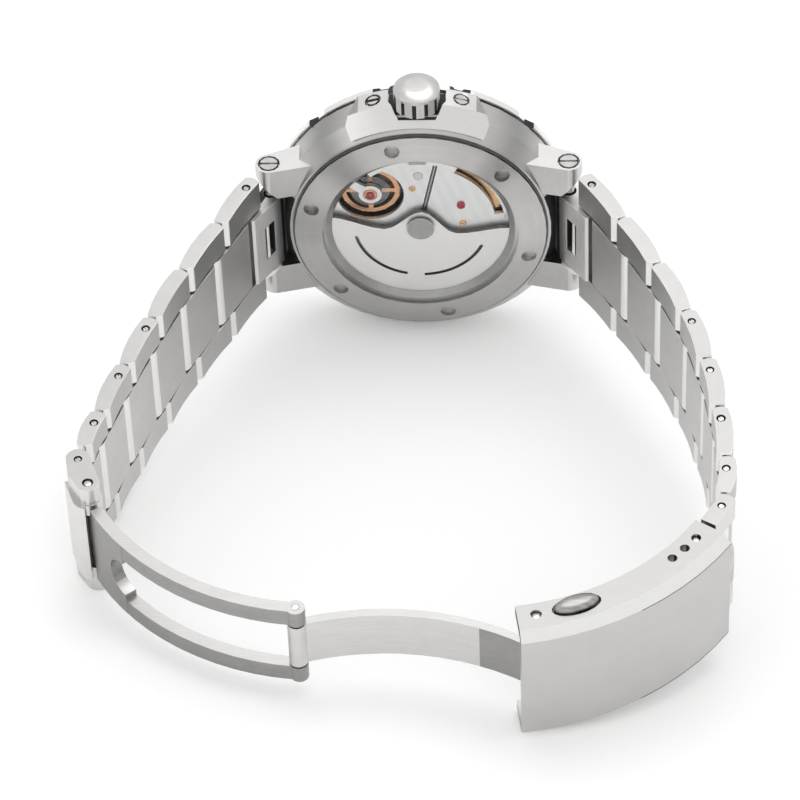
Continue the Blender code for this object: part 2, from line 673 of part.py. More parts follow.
def build_bezel(stand):
    base = CASE_HEIGHT + SEAT_GAP
    top = base + BEZEL_HEIGHT
    inner = NECK_RADIUS + SEAT_GAP
    lip = BEZEL_RADIUS - BEZEL_CHAMFER - BEZEL_RIM
    pocket = top - BEZEL_POCKET
    profile = [
        (inner, base),
        (BEZEL_RADIUS, base),
        (BEZEL_RADIUS, top - BEZEL_CHAMFER),
        (BEZEL_RADIUS - BEZEL_CHAMFER, top),
        (lip, top),
        (lip, pocket),
        (inner, pocket),
    ]
    bezel = turned("bezel", profile)
    for i in range(BEZEL_NOTCHES):
        angle = BEZEL_NOTCH_START + 2 * math.pi * i / BEZEL_NOTCHES
        reach = BEZEL_RADIUS + BEZEL_NOTCH_RADIUS - BEZEL_NOTCH_CUT
        x = reach * math.cos(angle)
        z = reach * math.sin(angle)
        cut(bezel, disc("notch", BEZEL_NOTCH_RADIUS, base - MM, top + MM, 12, x, z))
    place(bezel, stand, STEEL)

    floor = pocket + SEAT_GAP
    outer = lip - SEAT_GAP
    bore = inner + SEAT_GAP
    insert = turned("bezel_insert", [(bore, floor), (outer, floor), (outer, floor + INSERT_THICK),
                                     (bore, floor + INSERT_THICK)])
    place(insert, stand, BLACK)


def build_dial_side(stand):
    crystal_base = GLASS_LEDGE + SEAT_GAP
    radius = GLASS_BORE - SEAT_GAP
    sides = CASE_SIDES
    points = []
    for level, size in ((0, radius), (CRYSTAL_THICK - CRYSTAL_EDGE, radius),
                        (CRYSTAL_THICK, radius - CRYSTAL_EDGE)):
        ring = arc(0, 0, size, 0, 360 - 360 / sides, sides - 1)
        points += [(x, crystal_base + level, z) for x, z in ring]
    faces = [list(range(sides)), list(range(2 * sides, 3 * sides))]
    for i in range(2 * sides):
        j = i // sides * sides + (i + 1) % sides
        faces.append([i, j, j + sides, i + sides])
    place(solid("front_crystal", points, faces), stand, GLASS)

    dial_top = CAVITY_TOP - SEAT_GAP
    dial = disc("dial", CAVITY_RADIUS - SEAT_GAP, dial_top - DIAL_THICK, dial_top, HIDDEN_SIDES)
    cut(dial, disc("centre", HAND_POST_RADIUS + SEAT_GAP, 0, 2 * dial_top, 16))
    place(dial, stand, BLACK)

    outer = DIAL_OPENING - SEAT_GAP
    low = dial_top + SEAT_GAP
    high = GLASS_LEDGE
    flange = turned("flange_ring", [(outer - FLANGE_WIDTH, low), (outer, low), (outer, high),
                                    (outer - FLANGE_WIDTH / 2, high)], HIDDEN_SIDES)
    place(flange, stand, BLACK)


def hand(name, level, length, tail, width, bore):
    # A tapered baton with a round hub; the seconds hand's hub is a closed cap.
    hub = HAND_POST_RADIUS + SEAT_GAP + HAND_HUB_WALL
    top = level + HAND_THICK
    outline = [(-tail, -width / 2), (length * 0.8, -width / 2), (length, -width / 8),
               (length, width / 8), (length * 0.8, width / 2), (-tail, width / 2)]
    baton = upright(name, outline, level, top)
    join(baton, disc("hub", hub, level - HAND_THICK / 4, top + HAND_THICK / 4, 20))
    if bore:
        cut(baton, disc("bore", HAND_POST_RADIUS + SEAT_GAP, 0, 2 * top, 16))
    return baton


def build_hands(stand):
    dial_top = CAVITY_TOP - SEAT_GAP
    first = dial_top + SEAT_GAP + HAND_THICK / 4
    hub = HAND_POST_RADIUS + SEAT_GAP
    hands = [
        ("hour_hand", HOUR_LENGTH, hub, HOUR_WIDTH, True, HOUR_ANGLE),
        ("minute_hand", MINUTE_LENGTH, hub, MINUTE_WIDTH, True, MINUTE_ANGLE),
        ("seconds_hand", SECONDS_LENGTH, SECONDS_TAIL, SECONDS_WIDTH, False, SECONDS_ANGLE),
    ]
    for order, (name, length, tail, width, bore, angle) in enumerate(hands):
        piece = hand(name, first + order * HAND_STEP, length, tail, width, bore)
        place(piece, stand, POLISHED, rotation=(0, angle, 0))


def build_movement(stand):
    plate_top = CAVITY_TOP - 2 * SEAT_GAP - DIAL_THICK
    plate_base = plate_top - PLATE_THICK
    plate = disc("main_plate", MOVEMENT_RADIUS, plate_base, plate_top, HIDDEN_SIDES)
    post_top = CAVITY_TOP + 2 * HAND_STEP - SEAT_GAP
    join(plate, disc("hand_post", HAND_POST_RADIUS, plate_base + SEAT_GAP, post_top, 16))
    up = math.pi / 2
    stem_bore = STEM_RADIUS + SEAT_GAP
    stem_end = STEM_INNER_END - SEAT_GAP
    cut(plate, radial_peg("stem_bore", up, CROWN_Y, stem_bore, stem_end, 2 * MOVEMENT_RADIUS))
    place(plate, stand, RHODIUM)

    inner = MOVEMENT_RADIUS + SEAT_GAP
    outer = CAVITY_RADIUS - SEAT_GAP
    holder = turned("movement_holder", [(inner, HOLDER_BASE), (outer, HOLDER_BASE),
                                        (outer, plate_top), (inner, plate_top)], HIDDEN_SIDES)
    cut(holder, radial_peg("stem_bore", up, CROWN_Y, stem_bore, stem_end, 2 * MOVEMENT_RADIUS))
    place(holder, stand, STEEL)

    low = BRIDGE_Y
    high = BRIDGE_Y + BRIDGE_THICK
    seam = math.degrees(BRIDGE_SEAM)
    half_gap = math.degrees(SEAT_GAP / BRIDGE_RADIUS)
    barrel_turn = math.degrees(BARREL_ANGLE)
    view = BRIDGE_RADIUS - BARREL_VIEW
    swing = 27
    right = arc(0, 0, BRIDGE_RADIUS, -88, barrel_turn - swing, 12)
    right += arc(0, 0, view, barrel_turn - swing, barrel_turn + swing, 10)
    right += arc(0, 0, BRIDGE_RADIUS, barrel_turn + swing, seam - half_gap, 4)
    right += [(SEAT_GAP, 0)]
    bridge = upright("train_bridge", right, low, high)
    place(bridge, stand, RHODIUM)

    opening = BALANCE_RADIUS + 2 * SEAT_GAP
    left = arc(0, 0, BRIDGE_RADIUS, seam + half_gap, 268, 24) + [(-SEAT_GAP, 0)]
    bridge = upright("barrel_bridge", left, low, high)
    clear = disc("opening", opening, low - MM, high + MM, 32, BALANCE_X, BALANCE_Z)
    cut(bridge, clear)
    out = Vector((BALANCE_X, BALANCE_Z)).normalized()
    across = Vector((-out.y, out.x))
    near = Vector((BALANCE_X, BALANCE_Z))
    far = out * (BRIDGE_RADIUS + MM)
    half = COCK_WIDTH / 2 + SEAT_GAP
    lane = [near + across * half, near - across * half, far - across * half, far + across * half]
    cut(bridge, upright("cock_lane", [(p.x, p.y) for p in lane], low - MM, high + MM))
    place(bridge, stand, RHODIUM)

    half = COCK_WIDTH / 2
    far = out * BRIDGE_RADIUS
    lane = [near + across * half, near - across * half, far - across * half, far + across * half]
    cock = upright("balance_cock", [(p.x, p.y) for p in lane], low, high)
    join(cock, disc("head", COCK_RADIUS + half / 2, low, high, 24, BALANCE_X, BALANCE_Z))
    place(cock, stand, RHODIUM)

    base = high + SEAT_GAP
    wheel = disc("balance_wheel", BALANCE_RADIUS, base, base + BALANCE_THICK, HIDDEN_SIDES)
    cut(wheel, disc("inside", BALANCE_RADIUS - BALANCE_RIM, 0, 2 * base, HIDDEN_SIDES))
    reach = BALANCE_RADIUS - BALANCE_RIM / 2
    half = BALANCE_ARM / 2
    join(wheel, block("arm", (-reach, reach), (base, base + BALANCE_THICK), (-half, half)))
    join(wheel, block("arm", (-half, half), (base, base + BALANCE_THICK), (-reach, reach)))
    place(wheel, stand, GILT, (BALANCE_X, 0, BALANCE_Z))

    barrel = disc("mainspring_barrel", BARREL_RADIUS, base, base + BARREL_THICK, HIDDEN_SIDES)
    place(barrel, stand, GILT, (BARREL_X, 0, BARREL_Z))

    rotor_top = BRIDGE_Y - SEAT_GAP
    rotor_base = rotor_top - ROTOR_THICK
    edge = math.degrees(math.asin(ROTOR_TOP_Z / ROTOR_RADIUS))
    outline = arc(0, 0, ROTOR_RADIUS, 180 - edge, 360 + edge, 26)
    rim = ROTOR_RADIUS * math.cos(math.radians(edge))
    crest = []
    for share in (0.2, 0.4, 0.6, 0.8, 1.0):
        blend = share * share * (3 - 2 * share)
        crest.append((taper(rim, ROTOR_DIP_X, share), taper(ROTOR_TOP_Z, ROTOR_DIP_Z, blend)))
    for share in (0.2, 0.35, 0.5, 0.65, 0.8, 1.0):
        blend = share * share * (3 - 2 * share)
        crest.append((taper(ROTOR_DIP_X, 0, share), taper(ROTOR_DIP_Z, ROTOR_BOSS, blend)))
    outline += crest + [(-x, z) for x, z in reversed(crest[:-1])]
    turn = (math.cos(ROTOR_REST), math.sin(ROTOR_REST))
    outline = [(x * turn[0] - z * turn[1], x * turn[1] + z * turn[0]) for x, z in outline]
    rotor = upright("rotor", outline, rotor_base, rotor_top)
    cut(rotor, disc("bore", BEARING_POST + SEAT_GAP, -MM, 2 * BRIDGE_Y, 20))
    place(rotor, stand, RHODIUM)

    cap_top = rotor_base - SEAT_GAP
    bearing = disc("rotor_bearing", BEARING_CAP, cap_top - BEARING_CAP_THICK, cap_top, 28)
    join(bearing, disc("post", BEARING_POST, cap_top - BEARING_CAP_THICK / 2, BRIDGE_Y - SEAT_GAP, 20))
    place(bearing, stand, STEEL)


def taper(first, last, share):
    return first + (last - first) * share


def near_end():
    # A link's near end from above: round about its pin, from its inner to its outer edge.
    lap = math.degrees(math.asin(LINK_HALF / LINK_REACH))
    return arc(0, 0, LINK_REACH, 180 + lap, 180 - lap, 6)


def side_outline(end):
    # One side piece from above: its outer edge bulges, its inner edge is hollow, its far corner bevelled.
    points = near_end()
    near = points[-1][0]
    for share in (0.25, 0.5, 0.75, 1.0):
        rise = 4 * LINK_BULGE * share * (1 - share)
        points.append((taper(near, end, share), taper(LINK_HALF, LINK_FAR_HEIGHT, share) + rise))
    points.append((end, LINK_FAR_BEVEL - LINK_HALF))
    for share in (1.0, 0.75, 0.5, 0.25):
        rise = 4 * LINK_HOLLOW * share * (1 - share)
        points.append((taper(near, end - LINK_FAR_BEVEL, share), rise - LINK_HALF))
    return points


def plate_outline(start, pitch):
    r = PLATE_RADIUS
    corner = r / 4
    points = arc(pitch, 0, r, -90, 90, 8)
    return points + [(start + corner, r), (start, r - corner), (start, corner - r), (start + corner, -r)]


def link(name, pitch, widths, centres, start):
    # Two side pieces, the wide centre plate half a pitch on, and the pins pressed through them.
    def outer(x):
        return taper(*widths, x / pitch)

    def inner(x):
        return taper(*centres, x / pitch)

    end = pitch - LINK_REACH - SEAT_GAP
    plate = prism(name, plate_outline(start, pitch), lambda x: -inner(x), inner)
    bore = LINK_PIN_RADIUS + PIN_PLAY
    cut(plate, peg("bore", pitch, 0, bore, -widths[0], widths[0], PIN_SIDES))
    sides = side_outline(end)
    upper = prism("upper", sides, lambda x: inner(x) + SEAT_GAP, outer)
    lower = prism("lower", sides, lambda x: -outer(x), lambda x: -inner(x) - SEAT_GAP)
    hold = widths[1] - LINK_PIN_COVER
    bar = peg("bar", (start + end) / 2, 0, LINK_BAR_RADIUS, -hold, hold, PIN_SIDES)
    pin = peg("pin", 0, 0, LINK_PIN_RADIUS, -hold, hold, PIN_SIDES)
    return join(plate, bar, upper, lower, pin)


def end_piece(name, half):
    # The narrow tongue between the lugs, with a bar across its window.
    r = END_HALF
    tip = END_PIECE_LENGTH + END_TIP
    outline = arc(0, 0, r, 90, 270, 8) + [(tip - END_BEVEL, -r), (tip, END_BEVEL - r), (tip, LINK_HALF)]
    piece = prism(name, outline, -half, half)
    tall = 2 * half
    cut(piece, peg("bar_bore", 0, 0, LUG_BAR_RADIUS + PIN_PLAY, -tall, tall))
    cut(piece, peg("pin_bore", END_PIECE_LENGTH, 0, LINK_PIN_RADIUS + PIN_PLAY, -tall, tall))
    window = block("window", (WINDOW_START, WINDOW_START + WINDOW_WIDTH), (-2 * r, WINDOW_DEPTH - r),
                   (-WINDOW_HEIGHT / 2, WINDOW_HEIGHT / 2))
    cut(piece, window)
    reach = WINDOW_HEIGHT / 2 + SEAT_GAP
    middle = WINDOW_START + WINDOW_WIDTH / 2
    return join(piece, peg("window_bar", middle, WINDOW_DEPTH / 2 - r, WINDOW_BAR_RADIUS, -reach, reach))


def blade_link(name, pitch, widths, centre):
    # The last link of the left half: two ears and an outer web round the blade's tongue.
    half = widths[1]
    r = EAR_RADIUS
    outline = arc(0, 0, r, 270, 90, 6)
    outline += [(pitch * 0.5, r + LINK_BULGE)]
    outline += arc(pitch, 0, r, 90, -90, 8)
    inner = centre + SEAT_GAP
    ears = prism(name, outline, inner, half)
    lower = prism("lower", outline, -half, -inner)
    clear = BLADE_KNUCKLE + SEAT_GAP
    start = PLATE_RADIUS
    shell = [(start, clear)] + arc(pitch, 0, clear, 90, WEB_END, 5)
    shell += arc(pitch, 0, clear + END_WEB, WEB_END, 90, 5) + [(start, clear + END_WEB)]
    web = prism("web", shell, -inner - LINK_PIN_COVER, inner + LINK_PIN_COVER)
    hold = half - LINK_PIN_COVER
    pin = peg("pin", 0, 0, LINK_PIN_RADIUS, -hold, hold)
    join(ears, web, lower, pin)
    for end in (-1, 1):
        heights = sorted((end * (TONGUE_HALF + SEAT_GAP), end * (inner + LINK_PIN_COVER)))
        join(ears, peg("barrel", pitch, 0, r + EAR_COLLAR, *heights, 18))
    return cut(ears, peg("bore", pitch, 0, BLADE_PIN_RADIUS + PIN_PLAY, -2 * half, 2 * half))


def clasp_link(name, pitch, widths, centre):
    # The last link of the right half: its tongue slips between the cover's walls.
    half = widths[0]
    end = pitch - PIN_CIRCLE * math.radians(COVER_END - ADJUST_ANGLES[-1]) - 2 * SEAT_GAP
    inner = centre + SEAT_GAP
    outline = near_end() + [(end, LINK_HALF), (end, -LINK_HALF)]
    tongue_half = COVER_HALF - COVER_WALL - SEAT_GAP
    piece = prism(name, plate_outline(PLATE_RADIUS + SEAT_GAP, pitch), -tongue_half, tongue_half)
    upper = prism("upper", outline, inner, half)
    lower = prism("lower", outline, -half, -inner)
    hold = half - LINK_PIN_COVER
    pin = peg("pin", 0, 0, LINK_PIN_RADIUS, -hold, hold)
    join(piece, upper, lower, pin)
    return cut(piece, peg("bore", pitch, 0, SPRING_BAR_RADIUS + PIN_PLAY, -2 * half, 2 * half))


def build_arm(stand, label, side, angles, pitches, last_link):
    pins = chain(side, angles, [END_PIECE_LENGTH] + pitches)
    total = sum(pitches)
    flip = 0 if side > 0 else math.pi

    def seat(piece, pin, degrees):
        ahead = direction(side, degrees)
        return place(piece, stand, STEEL, (pin.x, pin.y, 0), (flip, 0, math.atan2(ahead.y, ahead.x)))

    seat(end_piece(f"{label}_end_piece", CENTRE_AT_LUGS / 2), pins[0], angles[0])
    gone = 0.0
    for order, pitch in enumerate(pitches):
        shares = (gone / total, (gone + pitch) / total)
        widths = [taper(WIDTH_AT_LUGS, WIDTH_AT_CLASP, share) / 2 for share in shares]
        centres = [taper(CENTRE_AT_LUGS, CENTRE_AT_CLASP, share) / 2 for share in shares]
        name = f"{label}_link_{order + 1}"
        if order + 1 < len(pitches):
            tip = PLATE_RADIUS if order else END_TIP + SEAT_GAP
            piece = link(name, pitch, widths, centres, tip + SEAT_GAP)
        else:
            piece = last_link(name, pitch, widths, centres[0])
        seat(piece, pins[order + 1], angles[order + 1])
        gone += pitch
    return pins


def build_clasp_cover(stand, bar):
    # The cover is a curved channel; its origin lies on the spring bar.
    centre = -cover_point(PIN_CIRCLE, ADJUST_ANGLES[-1])
    floor = COVER_RADIUS - COVER_DEPTH
    shoulder = COVER_RADIUS - COVER_BEVEL
    wall = COVER_HALF - COVER_WALL
    under = COVER_RADIUS - COVER_PLATE
    section = [
        (floor, COVER_HALF), (shoulder, COVER_HALF), (COVER_RADIUS, COVER_HALF - COVER_BEVEL),
        (COVER_RADIUS, COVER_BEVEL - COVER_HALF), (shoulder, -COVER_HALF), (floor, -COVER_HALF),
        (floor, -wall), (under, -wall), (under, wall), (floor, wall),
    ]
    count = len(section)
    points = []
    for i in range(COVER_STEPS + 1):
        degrees = COVER_START + (COVER_END - COVER_START) * i / COVER_STEPS
        for radius, z in section:
            spot = centre + cover_point(radius, degrees)
            points.append((spot.x, spot.y, z))
    faces = [list(range(count)), [COVER_STEPS * count + i for i in range(count)]]
    for i in range(COVER_STEPS):
        for k in range(count):
            m = (k + 1) % count
            faces.append([i * count + k, i * count + m, (i + 1) * count + m, (i + 1) * count + k])
    cover = solid("clasp_cover", points, faces)
    tall = 2 * COVER_HALF
    for degrees in ADJUST_ANGLES:
        spot = centre + cover_point(PIN_CIRCLE, degrees)
        cut(cover, peg("adjust_hole", spot.x, spot.y, SPRING_BAR_RADIUS + PIN_PLAY, -tall, tall, 10))
    spot = centre + cover_point(PIN_CIRCLE, COVER_PIN_ANGLE)
    cut(cover, peg("pin_hole", spot.x, spot.y, BLADE_PIN_RADIUS + PIN_PLAY, -tall, tall, 10))
    outline = button_outline(centre, SEAT_GAP)
    cut(cover, prism("button_hole", outline, -tall, tall))
    place(cover, stand, STEEL, (bar.x, bar.y, 0))

    outline = button_outline(centre, 0)
    inner = COVER_HALF + BUTTON_PROUD - BUTTON_DEPTH
    for name, end in (("upper_push_button", 1), ("lower_push_button", -1)):
        heights = sorted((end * inner, end * (COVER_HALF + BUTTON_PROUD)))
        button = prism(name, outline, *heights)
        place(button, stand, POLISHED, (bar.x, bar.y, 0))

    reach = COVER_HALF - COVER_WALL / 4
    place(peg("spring_bar", 0, 0, SPRING_BAR_RADIUS, -reach, reach), stand, STEEL, (bar.x, bar.y, 0))
    return Vector((bar.x, bar.y)) + centre


def button_outline(centre, grow):
    # An oval that lies along the cover's arc.
    middle = centre + cover_point(PIN_CIRCLE, BUTTON_ANGLE)
    along = cover_point(1.0, BUTTON_ANGLE + 90)
    out = cover_point(1.0, BUTTON_ANGLE)
    points = []
    for x, y in arc(0, 0, 1, 0, 342, 19):
        spot = middle + along * x * (BUTTON_LENGTH / 2 + grow) + out * y * (BUTTON_WIDTH / 2 + grow)
        points.append((spot.x, spot.y))
    return points


def build_inner_blade(stand, hinge, fold):
    # The single strip that swings in the cover; its origin lies on the cover's hinge pin.
    reach = fold - hinge
    half = INNER_BLADE_HALF
    curve = bow(Vector((0, 0)), reach, INNER_BLADE_RADIUS, 1)
    trim = BLADE_KNUCKLE / 2 / INNER_BLADE_CHORD
    blade = curved_strip("inner_blade", curve, INNER_BLADE_RADIUS, INNER_BLADE_THICK,
                         (-half, half), (trim, 1 - trim))
    tall = 2 * half
    for spot in (Vector((0, 0)), reach):
        join(blade, peg("knuckle", spot.x, spot.y, BLADE_KNUCKLE, -half, half, 16))
    for spot in (Vector((0, 0)), reach):
        cut(blade, peg("bore", spot.x, spot.y, BLADE_PIN_RADIUS + PIN_PLAY, -tall, tall))
    place(blade, stand, STEEL, (hinge.x, hinge.y, 0))

    reach_out = COVER_HALF - COVER_WALL / 4
    place(peg("cover_hinge_pin", 0, 0, BLADE_PIN_RADIUS, -reach_out, reach_out), stand, STEEL,
          (hinge.x, hinge.y, 0))
    place(peg("fold_hinge_pin", 0, 0, BLADE_PIN_RADIUS, -half, half), stand, STEEL, (fold.x, fold.y, 0))


def build_outer_blade(stand, hinge, fold, link_half):
    # The forked blade: two rails from an end plate; its origin lies on the left half's last pin.
    reach = fold - hinge
    inner = INNER_BLADE_HALF + SEAT_GAP
    outer = inner + RAIL_HEIGHT
    curve = bow(Vector((0, 0)), reach, OUTER_BLADE_RADIUS, 1)
    length = abs(curve[2]) * OUTER_BLADE_RADIUS
    start = END_PLATE_START / length
    end = END_PLATE_END / length
    trim = 1 - BLADE_KNUCKLE / 2 / length
    thick = OUTER_BLADE_THICK
    blade = curved_strip("outer_blade", curve, OUTER_BLADE_RADIUS, thick, (-outer, outer), (start, end), 4)
    middle = curve[1] + curve[2] * end
    spot = curve[0] + Vector((math.cos(middle), math.sin(middle))) * OUTER_BLADE_RADIUS
    outwards = Vector((math.cos(middle), math.sin(middle)))
    scallop = peg("scallop", 0, 0, END_PLATE_SCALLOP, -2 * thick, 2 * thick, 20)
    turn = Vector((0, 0, 1)).rotation_difference(Vector((outwards.x, outwards.y, 0)))
    for vertex in scallop.data.vertices:
        vertex.co = turn @ vertex.co + Vector((spot.x, spot.y, 0))
    cut(blade, scallop)
    for low, high in ((inner, outer), (-outer, -inner)):
        rail = curved_strip("rail", curve, OUTER_BLADE_RADIUS, thick, (low, high), (start * 1.5, trim))
        join(rail, peg("eye", reach.x, reach.y, BLADE_KNUCKLE, low, high, 16))
        join(blade, rail)
    neck = curved_strip("neck", curve, OUTER_BLADE_RADIUS, thick * 0.8, (-TONGUE_HALF, TONGUE_HALF),
                        (0, start * 1.5), 2)
    tongue = peg("tongue", 0, 0, BLADE_KNUCKLE, -TONGUE_HALF, TONGUE_HALF, 16)
    join(blade, join(tongue, neck))
    cut(blade, peg("bore", 0, 0, BLADE_PIN_RADIUS + PIN_PLAY, -2 * outer, 2 * outer))
    place(blade, stand, STEEL, (hinge.x, hinge.y, 0))

    reach_out = link_half - LINK_PIN_COVER / 3
    place(peg("blade_hinge_pin", 0, 0, BLADE_PIN_RADIUS, -reach_out, reach_out), stand, STEEL,
          (hinge.x, hinge.y, 0))


def lean(stand, cover_corner, link_centre):
    # Turns the stand so that the table's plane runs under the case, the cover and the last left link.
    up = Vector((0, 0, 1))
    for _ in range(12):
        down = -Vector((up.x, up.z)).normalized() * CASE_RADIUS
        low = Vector((down.x, CASE_CHAMFER, down.y))
        slope = -Vector((up.x, up.y)) * EAR_RADIUS / max(math.hypot(up.x, up.y), MM)
        link_low = link_centre + Vector((slope.x, slope.y, 0))
        up = (cover_corner - low).cross(link_low - low).normalized()
        if up.z < 0:
            up.negate()
    turn = up.rotation_difference(Vector((0, 0, 1)))
    stand.rotation_mode = "QUATERNION"
    stand.rotation_quaternion = turn
    stand.location = turn @ Vector((0, BACK_GLASS_RISE, 0))


def main():
    clear_scene()
    stand = bpy.data.objects.new("stand", None)
    bpy.context.scene.collection.objects.link(stand)
    build_mid_case(stand)
    build_lug_bars(stand)
    build_case_back(stand)
    build_crown_guard(stand)
    build_crown(stand)
    build_bezel(stand)
    build_dial_side(stand)
    build_hands(stand)
    build_movement(stand)
    left = build_arm(stand, "left", -1, LEFT_ANGLES, LEFT_PITCHES, blade_link)
    right = build_arm(stand, "right", 1, RIGHT_ANGLES, RIGHT_PITCHES, clasp_link)
    blade_end = left[-1]
    bar = right[-1]
    centre = build_clasp_cover(stand, bar)
    hinge = centre + cover_point(PIN_CIRCLE, COVER_PIN_ANGLE)
    fold = meeting_point(blade_end, OUTER_BLADE_CHORD, hinge, INNER_BLADE_CHORD)
    build_inner_blade(stand, hinge, fold)
    build_outer_blade(stand, blade_end, fold, WIDTH_AT_CLASP / 2)
    corner = centre + cover_point(COVER_RADIUS - COVER_BEVEL, COVER_START)
    cover_corner = Vector((corner.x, corner.y, -COVER_HALF))
    link_centre = Vector((blade_end.x, blade_end.y, -WIDTH_AT_CLASP / 2))
    lean(stand, cover_corner, link_centre)


main()
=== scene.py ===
import json
import math

import bmesh
import bpy
from mathutils import Matrix, Vector


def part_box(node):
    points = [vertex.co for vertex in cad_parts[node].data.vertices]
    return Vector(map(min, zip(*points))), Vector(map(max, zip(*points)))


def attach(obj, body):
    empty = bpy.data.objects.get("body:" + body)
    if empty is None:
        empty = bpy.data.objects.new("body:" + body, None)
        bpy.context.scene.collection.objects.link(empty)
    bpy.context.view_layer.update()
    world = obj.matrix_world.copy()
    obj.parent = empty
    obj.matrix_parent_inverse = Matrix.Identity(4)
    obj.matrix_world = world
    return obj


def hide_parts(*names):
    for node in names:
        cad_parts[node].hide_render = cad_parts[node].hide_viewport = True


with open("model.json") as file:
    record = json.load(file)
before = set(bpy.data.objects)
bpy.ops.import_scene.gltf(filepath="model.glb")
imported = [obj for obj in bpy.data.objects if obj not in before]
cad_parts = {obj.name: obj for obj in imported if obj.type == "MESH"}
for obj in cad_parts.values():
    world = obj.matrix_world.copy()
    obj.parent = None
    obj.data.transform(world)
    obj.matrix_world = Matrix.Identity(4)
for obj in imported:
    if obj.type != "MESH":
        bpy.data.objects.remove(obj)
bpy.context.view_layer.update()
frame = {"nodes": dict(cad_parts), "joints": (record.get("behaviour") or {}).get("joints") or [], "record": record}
mm = 0.001
nodes = frame["nodes"]
joints = {joint["name"]: joint for joint in frame["joints"]}


# the watch's own axes, read from its joints
def pin(name):
    return Vector(joints[name]["pos_m"])


def axisOf(name):
    return Vector(joints[name]["axis"]).normalized()


outAxis = axisOf("bezel_turn")     # out through the dial
upAxis = axisOf("stem_turn")       # along the crown
sideAxis = outAxis.cross(upAxis)   # towards twelve
watch = Matrix((sideAxis, outAxis, upAxis)).transposed().to_4x4()
watch.translation = pin("bezel_turn")
toLocal = watch.inverted()
turnOnly = watch.to_3x3()
toDial, toBack, toCrown = (0, 1, 0), (0, -1, 0), (0, 0, 1)   # in the watch's own axes


def localPin(name):
    return toLocal @ pin(name) / mm


def localBox(node):
    spots = [toLocal @ corner.co / mm for corner in nodes[node].data.vertices]
    low = Vector([min(spot[i] for spot in spots) for i in range(3)])
    high = Vector([max(spot[i] for spot in spots) for i in range(3)])
    return low, high


def localMiddle(node):
    low, high = localBox(node)
    return (low + high) / 2


# shader and geometry trees
class Wire:
    # one socket, so that maths on it reads like maths
    def __init__(self, tree, socket=None):
        self.tree = tree
        self.socket = socket

    def add(self, kind, settings=None, inputs=None, out=0):
        node = self.tree.nodes.new(kind)
        for key, value in (settings or {}).items():
            setattr(node, key, value)
        for key, value in (inputs or {}).items():
            if isinstance(value, Wire):
                self.tree.links.new(value.socket, node.inputs[key])
            else:
                node.inputs[key].default_value = value
        return Wire(self.tree, node.outputs[out] if len(node.outputs) else None)

    def calc(self, how, first, second=0.0):
        return self.add("ShaderNodeMath", {"operation": how}, {0: first, 1: second})

    def __add__(self, other):
        return self.calc("ADD", self, other)

    def __radd__(self, other):
        return self.calc("ADD", other, self)

    def __sub__(self, other):
        return self.calc("SUBTRACT", self, other)

    def __rsub__(self, other):
        return self.calc("SUBTRACT", other, self)

    def __mul__(self, other):
        return self.calc("MULTIPLY", self, other)

    def __rmul__(self, other):
        return self.calc("MULTIPLY", other, self)

    def __pow__(self, other):
        return self.calc("POWER", self, other)

    def ramp(self, low, high, first=0.0, last=1.0):
        return self.add("ShaderNodeMapRange", {"interpolation_type": "SMOOTHSTEP"},
                        {0: self, 1: low, 2: high, 3: first, 4: last})

    def colours(self, first, second):
        # a colour between two, by this socket's value
        return self.add("ShaderNodeMix", {"data_type": "RGBA"},
                        {0: self, 6: (*first, 1), 7: (*second, 1)}, 2)

    def noise(self, place, scale=1.0, detail=3.0, rough=0.55):
        return self.add("ShaderNodeTexNoise", {}, {"Vector": place, "Scale": scale, "Detail": detail,
                                                   "Roughness": rough}, 0)


white = (1, 1, 1, 1)


def freshTree(owner):
    owner.use_nodes = True
    owner.node_tree.nodes.clear()
    return Wire(owner.node_tree)


def newMaterial(name):
    material = bpy.data.materials.new(name)
    start = freshTree(material)
    place = start.add("ShaderNodeTexCoord", {}, {}, "Object")
    # metres in the part's frame become millimetres in the watch's own
    place = start.add("ShaderNodeMapping", {"vector_type": "TEXTURE"},
                      {"Vector": place, "Location": watch.translation, "Rotation": turnOnly.to_euler()})
    place = start.add("ShaderNodeVectorMath", {"operation": "SCALE"}, {0: place, "Scale": 1 / mm})
    return material, start, place


def finishMaterial(start, shader, bump, strength, depth):
    # a principled surface with a bump, out to the material
    normal = start.add("ShaderNodeBump", {}, {"Strength": strength, "Distance": depth * mm, "Height": bump})
    surface = start.add("ShaderNodeBsdfPrincipled", {}, {**shader, "Normal": normal})
    start.add("ShaderNodeOutputMaterial", {}, {"Surface": surface})


def split(start, place):
    node = start.add("ShaderNodeSeparateXYZ", {}, {0: place}).socket.node
    return [Wire(start.tree, node.outputs[i]) for i in range(3)]


def joinUp(start, x, y, z):
    return start.add("ShaderNodeCombineXYZ", {}, {0: x, 1: y, 2: z})


steelLook = {
    "slow": 0.12, "arc": 0.02,                # pattern along the lines, and round the case
    "lines": 0.65, "patches": 0.35,           # shares of the tone
    "contrast": (0.3, 0.7), "lineGloss": 1.3, "depth": 0.03,
    "greenBlue": (0.988, 0.968),              # beside the red
}


